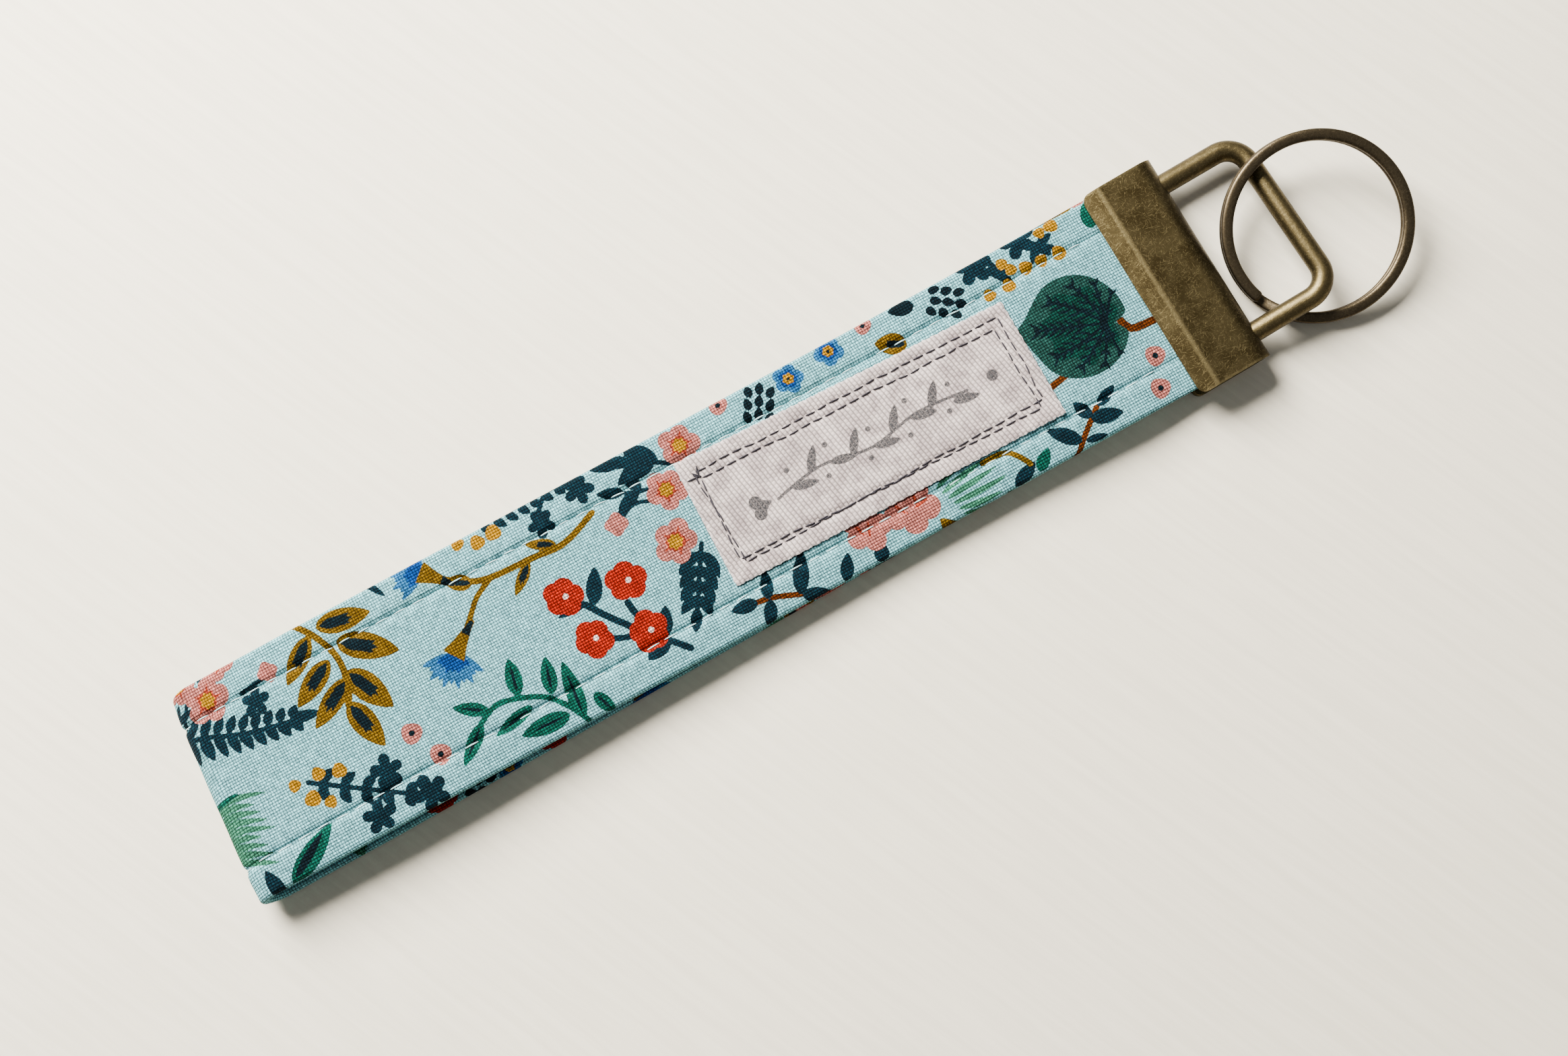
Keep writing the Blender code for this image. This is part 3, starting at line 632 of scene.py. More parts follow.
def gridFaces(rows, cols, closed=True):
    # Four-sided faces between the rows of a grid of points; a closed grid joins its last column to its
    # first.
    r, c = np.meshgrid(np.arange(rows - 1), np.arange(cols if closed else cols - 1), indexing="ij")
    nextCol = (c + 1) % cols
    corners = [r * cols + c, (r + 1) * cols + c, (r + 1) * cols + nextCol, r * cols + nextCol]
    return np.stack(corners, -1).reshape(-1, 4).tolist()


def endFaces(rows, cols):
    # One flat face over each end of a tube.
    return [list(range(cols))[::-1], [(rows - 1) * cols + i for i in range(cols)]]


def tubeMesh(name, points, material, uvAlong=None, uvAround=None, fields=None):
    # Rings of points joined into a closed skin, with a flat face over each end. uvAlong has a value for
    # each row and uvAround one for each column and one more, where the skin meets itself.
    rows, cols = points.shape[:2]
    faces = gridFaces(rows, cols) + endFaces(rows, cols)
    uv = None
    if uvAlong is not None:
        r, c = np.meshgrid(np.arange(rows - 1), np.arange(cols), indexing="ij")
        corners = [(r, c), (r + 1, c), (r + 1, c + 1), (r, c + 1)]
        corners = [np.stack([uvAlong[i], uvAround[j]], -1) for i, j in corners]
        uv = list(np.stack(corners, 2).reshape(-1, 4, 2))
        uv += [np.tile([uvAlong[end], uvAround[0]], (cols, 1)) for end in (0, -1)]
    return meshFrom(name, points.reshape(-1, 3), faces, material, uv, fields)


def unit(vectors):
    # The vectors at length 1.
    return vectors / np.linalg.norm(vectors, axis=-1, keepdims=True)


def stitchMesh(name, paths, ups, radius, material, cols=6):
    # Many short threads at once: each path is a row of points, with a ring of cols points round each,
    # thinner towards its ends.
    along = unit(np.gradient(paths, axis=1))
    side = unit(np.cross(along, ups))
    rise = np.cross(side, along)
    count, rows = paths.shape[:2]
    share = np.linspace(0, 1, rows)
    hump = np.sin(math.pi * share)
    taper = radius * (0.45 + 0.55 * hump ** 0.5)
    angles = np.linspace(0, 2 * math.pi, cols, endpoint=False)
    ring = side[:, :, None] * np.cos(angles)[:, None] + rise[:, :, None] * np.sin(angles)[:, None]
    points = (paths[:, :, None] + ring * taper[None, :, None, None]).reshape(-1, 3)
    one = gridFaces(rows, cols) + endFaces(rows, cols)
    faces = [[i + k * rows * cols for i in face] for k in range(count) for face in one]
    mesh = bpy.data.meshes.new(name)
    mesh.from_pydata((points * mm).tolist(), [], faces)
    addField(mesh, "threadEnd", np.tile(np.repeat(1 - hump ** 0.7, cols), count))
    addField(mesh, "threadTwist", np.tile(np.add.outer(share * 5, np.arange(cols) / cols).ravel(), count))
    mesh.shade_smooth()
    return placed(name, mesh, material)


def applied(piece):
    # The piece with its modifiers made part of its mesh.
    graph = bpy.context.evaluated_depsgraph_get()
    done = bpy.data.meshes.new_from_object(piece.evaluated_get(graph))
    piece.modifiers.clear()
    piece.data = done
    return piece


def linear(color):
    # An sRGB colour from 0 to 255 as linear light, with its alpha.
    shares = [v / 255 for v in color]
    return tuple(v / 12.92 if v <= 0.04045 else ((v + 0.055) / 1.055) ** 2.4 for v in shares) + (1,)


def seenAs(color, exposure=2.7, vivid=1.18, split=0.0):
    # The base colour that shows as the given one in this light: lights are raised, since the view dulls
    # them, by their luminance or, as split rises to 1, channel by channel; then all is divided by the
    # light's strength, and the colour is moved away from its own grey.
    base = linear(color)[:3]
    level = 0.21 * base[0] + 0.72 * base[1] + 0.07 * base[2]
    base = [v * (1 + 4.3 * (split * v ** 3 + (1 - split) * level ** 3)) / exposure for v in base]
    grey = sum(base) / 3
    return tuple(max(0.001, grey + (v - grey) * vivid) for v in base) + (1,)


def put(tree, kind, inputs=None, **settings):
    # A new node with its settings, each input linked where a socket is given and set where a value is.
    made = tree.nodes.new(kind)
    for key, value in settings.items():
        setattr(made, key, value)
    fill(tree, made, inputs or {})
    return made


def fill(tree, node, inputs):
    # Links or sets a node's inputs.
    for key, value in inputs.items():
        if isinstance(value, bpy.types.NodeSocket):
            tree.links.new(value, node.inputs[key])
        else:
            node.inputs[key].default_value = value


def calc(tree, operation, *values, clamp=False):
    # One step of arithmetic.
    inputs = dict(enumerate(values))
    return put(tree, "ShaderNodeMath", inputs, operation=operation, use_clamp=clamp).outputs[0]


def times(tree, a, b):
    return calc(tree, "MULTIPLY", a, b)


def scaled(tree, value, by, plus):
    # value * by + plus.
    return calc(tree, "MULTIPLY_ADD", value, by, plus)


def halfWave(tree, value):
    # A hump over each whole step of the value: sin(pi * its fraction).
    return calc(tree, "SINE", times(tree, calc(tree, "FRACT", value), math.pi))


def chosen(tree, factor, a, b):
    # a * (1 - factor) + b * factor, for plain numbers.
    return put(tree, "ShaderNodeMix", {0: factor, 2: a, 3: b}, data_type="FLOAT").outputs[0]


def mixed(tree, factor, a, b, blend="MIX"):
    # The same for colours, with a way to blend them.
    return put(tree, "ShaderNodeMix", {0: factor, 6: a, 7: b}, data_type="RGBA", blend_type=blend).outputs[2]


def toned(tree, color, level):
    # A colour times a grey level.
    grey = put(tree, "ShaderNodeCombineColor", dict.fromkeys((0, 1, 2), level)).outputs[0]
    return mixed(tree, 1.0, color, grey, "MULTIPLY")


def noise(tree, vector, scale, detail=3.0, roughness=0.6, stretch=None):
    # Soft noise in scale cycles to a millimetre, drawn out where stretch is low.
    if stretch:
        vector = put(tree, "ShaderNodeMapping", {"Vector": vector, "Scale": stretch}).outputs[0]
    inputs = {"Vector": vector, "Scale": scale, "Detail": detail, "Roughness": roughness}
    return put(tree, "ShaderNodeTexNoise", inputs).outputs["Fac"]


def ranged(tree, value, low, high, a=0.0, b=1.0):
    # A smooth step from a to b while the value goes from low to high.
    inputs = {"Value": value, "From Min": low, "From Max": high, "To Min": a, "To Max": b}
    return put(tree, "ShaderNodeMapRange", inputs, interpolation_type="SMOOTHSTEP").outputs[0]


def turned(tree, vector, angle):
    # A vector turned about Z.
    inputs = {"Vector": vector, "Angle": angle}
    return put(tree, "ShaderNodeVectorRotate", inputs, rotation_type="Z_AXIS").outputs[0]


def parts(tree, vector):
    # A vector's X, Y and Z.
    return put(tree, "ShaderNodeSeparateXYZ", {0: vector}).outputs


def fieldOf(tree, name):
    # A value that the mesh carries at its points.
    return put(tree, "ShaderNodeAttribute", attribute_name=name).outputs["Fac"]


def newGroup(name, inputs, outputs):
    # An empty node group: its tree, the values given to it and where its results go.
    tree = bpy.data.node_groups.new(name, "ShaderNodeTree")
    for socket, kind, value in inputs:
        made = tree.interface.new_socket(socket, in_out="INPUT", socket_type="NodeSocket" + kind)
        if value is not None:
            made.default_value = value
    for socket, kind in outputs:
        tree.interface.new_socket(socket, in_out="OUTPUT", socket_type="NodeSocket" + kind)
    return tree, tree.nodes.new("NodeGroupInput").outputs, tree.nodes.new("NodeGroupOutput").inputs


def placeGroup(tree, group, inputs):
    # A node group put to use, with its inputs.
    made = tree.nodes.new("ShaderNodeGroup")
    made.node_tree = group
    fill(tree, made, inputs)
    return made.outputs


def plainWeave():
    # Two sets of threads, one over the other in turn: each cell shows the thread that is on top as a
    # rounded bar.
    tree, given, out = newGroup("plain weave", [("Vector", "Vector", None), ("Pitch", "Float", 0.36)],
                                [("Height", "Float"), ("Thread", "Float"), ("Slub", "Float")])
    place = parts(tree, given["Vector"])
    u, v = (calc(tree, "DIVIDE", place[i], given["Pitch"]) for i in (0, 1))
    cell = calc(tree, "ADD", calc(tree, "FLOOR", u), calc(tree, "FLOOR", v))
    over = calc(tree, "MODULO", calc(tree, "ABSOLUTE", cell), 2.0)
    acrossU, acrossV = halfWave(tree, u), halfWave(tree, v)
    threads = []
    for across, along in ((acrossV, acrossU), (acrossU, acrossV)):
        threads.append(times(tree, calc(tree, "POWER", across, 0.7), scaled(tree, along, 0.45, 0.55)))
    top = chosen(tree, over, *threads)
    warp = noise(tree, given["Vector"], 1.0, 2, 0.5, (0.6, 2.6, 1))
    weft = noise(tree, given["Vector"], 1.0, 2, 0.5, (2.6, 0.6, 1))
    slub = chosen(tree, over, warp, weft)
    tree.links.new(scaled(tree, slub, 0.35, top), out["Height"])
    # Thread is painted light and shade: lighter on each bar's top, darker in the gaps, and darker where the
    # second set of threads is on top.
    tree.links.new(times(tree, ranged(tree, top, 0.2, 0.9), scaled(tree, over, -0.3, 1.0)), out["Thread"])
    tree.links.new(slub, out["Slub"])
    return tree


def twillWeave():
    # Slanted ribs, each broken into short floats that are stepped from rib to rib.
    inputs = [("Vector", "Vector", None), ("Rib", "Float", 0.66), ("Slant", "Float", 1.36)]
    tree, given, out = newGroup("twill weave", inputs, [("Height", "Float"), ("Rib Mask", "Float")])
    place = parts(tree, turned(tree, given["Vector"], given["Slant"]))
    wobble = noise(tree, given["Vector"], 0.9, 2)
    across = calc(tree, "DIVIDE", scaled(tree, wobble, 0.16, place[1]), given["Rib"])
    step = times(tree, calc(tree, "FLOOR", across), 0.37)
    along = calc(tree, "ADD", calc(tree, "DIVIDE", place[0], 0.62), step)
    rib = calc(tree, "POWER", halfWave(tree, across), 0.8)
    floats = calc(tree, "POWER", halfWave(tree, along), 0.5)
    top = times(tree, rib, scaled(tree, floats, 0.4, 0.6))
    fuzz = noise(tree, given["Vector"], 7.0, 3)
    tree.links.new(scaled(tree, fuzz, 0.3, top), out["Height"])
    tree.links.new(ranged(tree, top, 0.1, 0.8), out["Rib Mask"])
    return tree


def printedInk():
    # Lays an ink over the cloth where the distance is below 0, with an edge that follows the threads.
    inputs = [("Cloth", "Color", None), ("Ink", "Color", None), ("Distance", "Float", 1.0),
              ("Bleed", "Float", 0.5), ("Tone", "Float", 0.5)]
    tree, given, out = newGroup("printed ink", inputs, [("Colour", "Color")])
    edge = calc(tree, "ADD", given["Distance"], scaled(tree, given["Bleed"], 0.22, -0.11))
    ink = toned(tree, given["Ink"], ranged(tree, given["Tone"], 0.3, 0.7, 0.8, 1.18))
    tree.links.new(mixed(tree, ranged(tree, edge, 0.05, -0.05), given["Cloth"], ink), out["Colour"])
    return tree


def antiqueBrass():
    # Brown patina in soft mottling, thinned to bright metal in a few soft patches, with hairline scratches
    # every way. A painted highlight, given as a mask, thins it further to bright metal, and a painted shade,
    # given as a second mask, darkens it.
    inputs = [("Vector", "Vector", None), ("Patina", "Color", None), ("Metal", "Color", None),
              ("Painted Highlight", "Float", 0.0), ("Painted Shade", "Float", 0.0)]
    outputs = [("Colour", "Color"), ("Roughness", "Float"), ("Height", "Float")]
    tree, given, out = newGroup("antique brass", inputs, outputs)
    cloud = noise(tree, given["Vector"], 0.3, 3, 0.55)
    speck = noise(tree, given["Vector"], 3.6, 5, 0.72)
    scratches = 0.0
    for angle, scale in ((0.2, 2.0), (0.9, 2.4), (1.5, 2.2), (2.1, 2.8), (2.8, 1.8)):
        hair = noise(tree, turned(tree, given["Vector"], angle), scale, 2, 0.5, (0.35, 3.4, 1.0))
        scratches = calc(tree, "MAXIMUM", scratches, ranged(tree, hair, 0.6, 0.7))
    scratches = times(tree, scratches, ranged(tree, speck, 0.4, 0.6, 0.2, 1.0))
    bareAndHighlight = scaled(tree, scratches, 0.46, ranged(tree, cloud, 0.35, 0.7, 0.0, 0.14))
    # Painted highlight: the patina thinned further to bright metal where the highlight mask is high, in
    # specks.
    highlightSpots = times(tree, given["Painted Highlight"], ranged(tree, speck, 0.35, 0.6, 0.5, 1.0))
    bareAndHighlight = calc(tree, "ADD", bareAndHighlight, highlightSpots, clamp=True)
    color = mixed(tree, bareAndHighlight, given["Patina"], given["Metal"])
    color = mixed(tree, times(tree, ranged(tree, speck, 0.5, 0.7), 0.34), color, (0.03, 0.024, 0.014, 1))
    # Painted shade: darker where the shade mask is high, in specks.
    shadeSpots = times(tree, given["Painted Shade"], ranged(tree, speck, 0.3, 0.7, 0.5, 1.0))
    tree.links.new(mixed(tree, shadeSpots, color, (0.018, 0.014, 0.009, 1)), out["Colour"])
    rough = calc(tree, "SUBTRACT", scaled(tree, speck, 0.2, 0.36), times(tree, bareAndHighlight, 0.12))
    tree.links.new(rough, out["Roughness"])
    tree.links.new(scaled(tree, scratches, -0.5, speck), out["Height"])
    return tree


def startMaterial(name, settings):
    # A Principled material whose constant values sit on the shader's own sockets. It carries its slot's
    # name, since Blender numbers a material's own name when the frame has one like it.
    made = bpy.data.materials.new(name)
    made.use_nodes = True
    shader = made.node_tree.nodes["Principled BSDF"]
    for key, value in settings.items():
        shader.inputs[key].default_value = value
    made["slot"] = name
    return made, made.node_tree, shader


def bumped(tree, shader, height, distance, strength=1.0):
    # Relief from a height, whose full step is distance millimetres.
    bump = put(tree, "ShaderNodeBump", {"Height": height, "Distance": distance * mm, "Strength": strength})
    tree.links.new(bump.outputs[0], shader.inputs["Normal"])


def objectMm(tree, turn=0.0, centre=(0, 0, 0)):
    # Object coordinates in millimetres, from a centre and turned about Z.
    inputs = {0: put(tree, "ShaderNodeTexCoord").outputs["Object"], 1: (1000, 1000, 1000),
              2: tuple(-each for each in centre)}
    moved = put(tree, "ShaderNodeVectorMath", inputs, operation="MULTIPLY_ADD").outputs[0]
    return turned(tree, moved, -turn)


weaveGroup = plainWeave()
twillGroup = twillWeave()
inkGroup = printedInk()
brassGroup = antiqueBrass()


def printedCotton():
    # The ground, each ink over it where its shapes are, and the threads' own light and shade over all.
    made, tree, shader = startMaterial("printed_cotton", {"Roughness": 0.9, "Specular IOR Level": 0.06})
    uv = put(tree, "ShaderNodeUVMap", uv_map="cloth").outputs[0]
    weave = placeGroup(tree, weaveGroup, {"Vector": uv, "Pitch": cotton["pitch"]})
    bleed = noise(tree, uv, 2.4, 2)
    tone = noise(tree, uv, 0.5, 4)
    color = seenAs(cotton["ground"], split=1)
    for ink in inks:
        inputs = {"Cloth": color, "Ink": seenAs(cotton[ink]), "Distance": fieldOf(tree, "ink_" + ink),
                  "Bleed": bleed, "Tone": tone}
        color = placeGroup(tree, inkGroup, inputs)[0]
    lit = ranged(tree, weave["Thread"], 0, 1, cotton["gap"], 1.1)
    uneven = ranged(tree, weave["Slub"], 0.32, 0.68, 0.62, 1.34)
    tree.links.new(toned(tree, color, times(tree, lit, uneven)), shader.inputs["Base Color"])
    bumped(tree, shader, weave["Height"], 0.11, 0.9)
    return made


def plainFleece():
    # Off-white felted fibres.
    made, tree, shader = startMaterial("fleece", {"Roughness": 0.95, "Specular IOR Level": 0.1})
    fuzz = noise(tree, objectMm(tree), 3.0, 5)
    color = mixed(tree, ranged(tree, fuzz, 0.3, 0.7), seenAs((205, 203, 196)), seenAs((226, 224, 218)))
    tree.links.new(color, shader.inputs["Base Color"])
    bumped(tree, shader, fuzz, 0.15)
    return made


def spunThread(name, light, dark, endShade):
    # Thread with its plies as slanted bands of painted light and shade, and painted shade where it dips into
    # the cloth.
    made, tree, shader = startMaterial(name, {"Roughness": 0.55, "Specular IOR Level": 0.2})
    ply = calc(tree, "SINE", times(tree, fieldOf(tree, "threadTwist"), 4 * math.pi))
    color = mixed(tree, ranged(tree, ply, -1, 1), seenAs(dark, split=1), seenAs(light, split=1))
    color = mixed(tree, times(tree, fieldOf(tree, "threadEnd"), endShade), color, (0.01, 0.01, 0.012, 1))
    tree.links.new(color, shader.inputs["Base Color"])
    bumped(tree, shader, ply, 0.03)
    return made


def stampedTwill():
    # Slowly varying off-white, shaded by its ribs, with the stamp's patchy ink and a paler cut rim.
    made, tree, shader = startMaterial("twill", {"Roughness": 0.92, "Specular IOR Level": 0.1})
    uv = put(tree, "ShaderNodeUVMap", uv_map="cloth").outputs[0]
    twill = placeGroup(tree, twillGroup, {"Vector": uv})
    patchy = noise(tree, uv, 5.0, 4, 0.7)
    slow = ranged(tree, noise(tree, uv, 0.35, 3), 0.3, 0.7)
    color = mixed(tree, slow, seenAs(label["low"], split=1), seenAs(label["high"], split=1))
    color = toned(tree, color, ranged(tree, twill["Rib Mask"], 0, 1, 0.6, 1.06))
    edge = calc(tree, "ADD", fieldOf(tree, "stamp"), scaled(tree, patchy, 0.3, -0.15))
    inked = times(tree, ranged(tree, edge, 0.07, -0.07), ranged(tree, patchy, 0.3, 0.55, 0.55, 1.0))
    inked = times(tree, inked, ranged(tree, twill["Rib Mask"], 0, 0.7, 0.6, 1.0))
    color = mixed(tree, inked, color, seenAs(label["ink"]))
    color = mixed(tree, times(tree, fieldOf(tree, "rim"), 0.25), color, seenAs((232, 226, 224)))
    tree.links.new(color, shader.inputs["Base Color"])
    bumped(tree, shader, twill["Height"], 0.17)
    return made


# The label: its corners and sewn rows are (distance from the fold, place across the strap).
label = {
    "corners": [(79.3, -8.76), (132.8, -9.6), (132.6, 9.08), (79.65, 10.96)],
    "thickness": 0.4,
    "seat": 0.12,  # height of its back over the cloth
    "low": (190, 183, 182),
    "high": (213, 208, 206),
    "ink": (88, 88, 90),
    "outer": [(82.2, -6.4), (131.0, -6.2), (131.0, 7.4), (81.7, 8.5)],
    "inner": [(81.6, -5.6), (130.1, -7.3), (129.7, 6.0), (82.2, 7.3)],
    "stitch": 2.0,
    "trim": 0.1,  # from a hole to where its thread shows
    "radius": 0.12,
}


def labelPlace(a, b):
    # A point of the label for a along and b across, both from 0 to 1.
    p, q, r, t = (np.array(corner) for corner in label["corners"])
    a, b = a[..., None], b[..., None]
    return (p * (1 - a) + q * a) * (1 - b) + (t * (1 - a) + r * a) * b


def rowDistance(place, row):
    # Distance from every place to a sewn row, which is a four-sided ring.
    knots = np.array(label[row] + label[row][:1])
    best = np.full(place.shape[:-1], 9.0)
    for a, b in zip(knots, knots[1:]):
        run = b - a
        share = np.clip(((place - a) @ run) / (run @ run), 0, 1)
        best = np.minimum(best, np.linalg.norm(place - a - share[..., None] * run, axis=-1))
    return best


def labelTop(place):
    # Lift of the label's face over the strap: pressed down along both sewn rows.
    dent = sum(0.15 * np.exp(-(rowDistance(place, row) / 0.45) ** 2) for row in ("outer", "inner"))
    wave = 0.05 * np.sin(place[..., 0] * 0.45) * np.sin(place[..., 1] * 0.6 + 0.5)
    return label["thickness"] + label["seat"] + wave - np.minimum(dent, 0.2)


def onLabel(place, lift):
    # A point over the upper layer at (distance, y), lift above the cloth, bridging the strap's own sewn
    # ditches.
    s = clothAt(place[..., 0])
    centre, outward, thickness, _ = strapLine(s)
    level = thickness / 2 - 0.1
    point = centre + outward * (level + lift)[..., None]
    point[..., 1] += place[..., 1] - strap["middle"]
    return point, outward


def stampMotif(place):
    # The stamped sprig: a wavy stem with leaves in turn, a heart at one end and a dot at the other.
    first = len(design)
    line("stamp", [(90.5, -0.6), (98, 0.7), (106, -0.5), (114, 0.8), (122, 0.1)], 0.45)
    for k in range(9):
        px = 93.0 + 3.3 * k
        py = 0.55 * math.sin((px - 94) * 0.4)
        side = 1 if k % 2 else -1
        leaf("stamp", px, py, 22 + side * 34, 4.2, 1.35)
        dot("stamp", *polar(px, py, 22 - side * 58, 2.7), 0.42)
    dot("stamp", 126.2, 0.3, 0.85)
    flare("stamp", 89.9, -0.4, 180, 2.5, 0.1, 3.5)
    dot("stamp", 87.3, 0.5, 0.96)
    dot("stamp", 87.3, -1.3, 0.96)
    found = np.full(place.shape[:-1], 1.0)
    for _, x, y, _, distance in design[first:]:
        dx, dy = (place[..., 0] - x).ravel(), (place[..., 1] - y).ravel()
        found = np.minimum(found, distance(dx, dy).reshape(found.shape))
    del design[first:]
    return np.clip(found, -1, 1)


# The strap's lengths: each has its two ends, its bodies, a bend range where it meets a joint or none, and
# the imported nodes it stands for.
lengths = {
    "upper_clamp_end": {"from": 158.0, "to": 112.0, "bodies": ("clamp", "upper_root"),
                        "bend": (149.7, 135.0), "nodes": ("upper_tail", "upper_root")},
    "upper_middle": {"from": 112.0, "to": 42.0, "bodies": ("upper_root", "upper_tip"),
                     "bend": (111.8, 44.4), "nodes": ("upper_tip",)},
    "upper_fold": {"from": 42.0, "to": None, "bodies": ("upper_tip", "fold"),
                   "bend": (22.0, 2.5), "nodes": ("fold",)},
    "lower_fold": {"from": None, "to": -42.0, "bodies": ("fold", "lower_tip"),
                   "bend": (2.5, 22.0), "nodes": ("lower_tip",)},
    "lower_middle": {"from": -42.0, "to": -112.0, "bodies": ("lower_tip", "lower_root"),
                     "bend": (44.4, 111.8), "nodes": ("lower_root",)},
    "lower_clamp_end": {"from": -112.0, "to": -149.6, "bodies": ("lower_root",), "bend": None, "nodes": ()},
    "lower_tail": {"from": -149.6, "to": -158.0, "bodies": ("clamp",), "bend": None,
                   "nodes": ("lower_tail",)},
}


def clothEnd(distance):
    # Cloth coordinate of a length's end, below 0 on the lower layer; the fold's outside is 0.
    return 0.0 if distance is None else math.copysign(clothAt(abs(distance)), distance)


def attach(piece, length, nodes=()):
    # A piece of the strap across two bodies has its place baked into its mesh, or it rides its length's only
    # body.
    if length["bend"]:
        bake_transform(piece)
    else:
        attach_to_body(piece, length["bodies"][0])
    if nodes:
        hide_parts(*nodes)


def makeStrap(looks):
    # Each length is a cotton cover, a fleece core inside it and their stitches. The cover's grid is fine
    # over the outer face and the edges, and coarser over the inner face.
    outer = halfFlat + edgeArc
    inner = np.linspace(outer, aroundReach, int((aroundReach - outer) / strap["innerCell"]))
    face = np.linspace(-outer, outer, int(2 * outer / strap["cell"]))[1:-1]
    around = np.concatenate([-inner[::-1], face, inner])
    coarse = np.linspace(-aroundReach, aroundReach, 61)
    threads = [f"{kind}_thread_{side}" for kind in ("needle", "bobbin") for side in ("left", "right")]
    for name, length in lengths.items():
        nodes = length["nodes"]
        start, end = clothEnd(length["from"]), clothEnd(length["to"])
        run = abs(end - start)
        along = np.linspace(start, end, max(6, int(run / strap["cell"])) + 1)
        s, t = np.meshgrid(along, around[:-1], indexing="ij")
        cover = tubeMesh("cotton_" + name, strapSection(s, t), looks["cotton"], along, around, printOn(s, t))
        attach(cover, length, ["cover_" + node for node in nodes])
        along = np.linspace(start, end, max(4, int(run / strap["coreCell"])))
        s, t = np.meshgrid(along, coarse[:-1], indexing="ij")
        core = tubeMesh("fleece_" + name, strapSection(s, t, strap["wall"]), looks["fleece"])
        attach(core, length, ["core_" + node for node in nodes])
        if name != "lower_tail":
            stitches = makeTopstitches(name, start, end, looks["whiteThread"])
            sewn = [f"{thread}_{node}" for node in nodes if "tail" not in node for thread in threads]
            attach(stitches, length, sewn)
        print("strap length", name, len(cover.data.vertices), "points")


def makeTopstitches(name, start, end, material):
    # Needle thread on the outer face and bobbin thread on the inner one, a stitch between each pair of
    # holes.
    pitch = topstitch["length"]
    low, high = sorted((start, end))
    high = min(high, clothAt(strap["mouth"]) - 0.3)
    first = np.arange(math.ceil(low / pitch), math.floor(high / pitch) + 1) * pitch
    first = first[(first >= low - 1e-6) & (first + pitch <= high + 0.6)]
    share = np.linspace(0, 1, 8)
    lift = -0.2 + 0.27 * np.sin(math.pi * share) ** 0.5
    paths, ups = [], []
    for face in (1, -1):
        for side in (1, -1):
            jitter = dice.normal(0, 1, (4, len(first)))[..., None]
            a = first[:, None] + topstitch["gap"] / 2 + 0.08 * jitter[0]
            b = first[:, None] + pitch - topstitch["gap"] / 2 + 0.08 * jitter[1]
            s = a + (b - a) * share
            y = side * topstitch["line"] + 0.05 * jitter[2] + 0.09 * jitter[3] * (share - 0.5)
            point, up = strapPoint(s, y, face, lift + 0 * s)
            paths.append(point)
            ups.append(up)
    paths, ups = np.concatenate(paths), np.concatenate(ups)
    return stitchMesh("topstitch_" + name, paths, ups, topstitch["radius"], material)


def makeLabel(looks):
    # The label is a thin closed cloth: its face, its rim and its back are one loop carried along it.
    count, across, back = 214, 78, 12
    b = np.concatenate([np.linspace(0, 1, across), np.linspace(1, 0, back)])
    top = np.concatenate([np.ones(across), np.zeros(back)])
    a, b = np.meshgrid(np.linspace(0, 1, count), b, indexing="ij")
    place = labelPlace(a, b)
    ragged = 0.05 * np.sin(place[..., 0] * 4.1) + 0.04 * np.sin(place[..., 0] * 9.7 + 1)
    place[..., 1] += ragged * (np.abs(b - 0.5) * 2) ** 20 * np.sign(b - 0.5)
    place[..., 0] += 0.06 * np.sin(place[..., 1] * 4.6) * (np.abs(a - 0.5) * 2) ** 20 * np.sign(a - 0.5)
    border = np.minimum(np.minimum(a, 1 - a) * 53, np.minimum(b, 1 - b) * 19)
    droop = 0.14 * np.exp(-(border / 0.25) ** 2)
    lift = np.where(top > 0, labelTop(place) - droop, label["seat"])
    point, _ = onLabel(place, lift)
    fields = {"stamp": stampMotif(place), "rim": smooth(1 - border / 0.35)}
    uvAround = np.append(place[0, :, 1], place[0, 0, 1])
    piece = tubeMesh("twill_label", point, looks["twill"], place[:, 0, 0], uvAround, fields)
    middle = lengths["upper_middle"]
    attach(piece, middle, ["label"])
    sewn = []
    for row in ("outer", "inner"):
        sewn.append(makeLabelRow(row, looks["greyThread"]))
        attach(sewn[-1], middle, [f"label_needle_thread_{row}", f"label_bobbin_thread_{row}"])
    print("label and its two sewn rows")


def makeLabelRow(row, material):
    # Stitches round the four sides of a row, on the label's face and, as bobbin thread, under the strap's
    # layer. The outer row ends in a small tangle at one corner.
    knots = np.array(label[row] + label[row][:1])
    runs = list(zip(knots, knots[1:]))
    if row == "outer":
        corner = knots[3]
        for _ in range(5):
            start = corner + dice.normal(0, 0.35, 2)
            runs.append((start, corner + dice.normal(0, 0.35, 2) + (0.4, -0.6)))
        runs.append((corner + (0.1, -0.8), corner + (-1.6, -0.7)))
    share = np.linspace(0, 1, 7)
    arch = np.sin(math.pi * share) ** 0.3
    trim = label["trim"] / label["stitch"]
    paths, ups = [], []
    for a, b in runs:
        count = max(1, round(np.linalg.norm(b - a) / label["stitch"]))
        wander = dice.normal(0, 0.09, (count + 1, 2))
        wander[[0, -1]] = 0
        holes = a + (b - a) * np.arange(count + 1)[:, None] / count + wander
        run = (holes[1:] - holes[:-1])[:, None]
        place = holes[:-1, None] + run * (trim + (1 - 2 * trim) * share)[None, :, None]
        point, up = onLabel(place, labelTop(place) - 0.13 + 0.24 * arch)
        paths.append(point)
        ups.append(up)
        point, up = onLabel(place, -thicknessUnder(place) - 0.02 * arch)
        paths.append(point)
        ups.append(-up)
    paths, ups = np.concatenate(paths), np.concatenate(ups)
    return stitchMesh("label_stitches_" + row, paths, ups, label["radius"], material)


def thicknessUnder(place):
    # How far the strap's inner face lies under the label's seat.
    thickness = strapLine(clothAt(place[..., 0]))[2]
    return thickness - 0.1


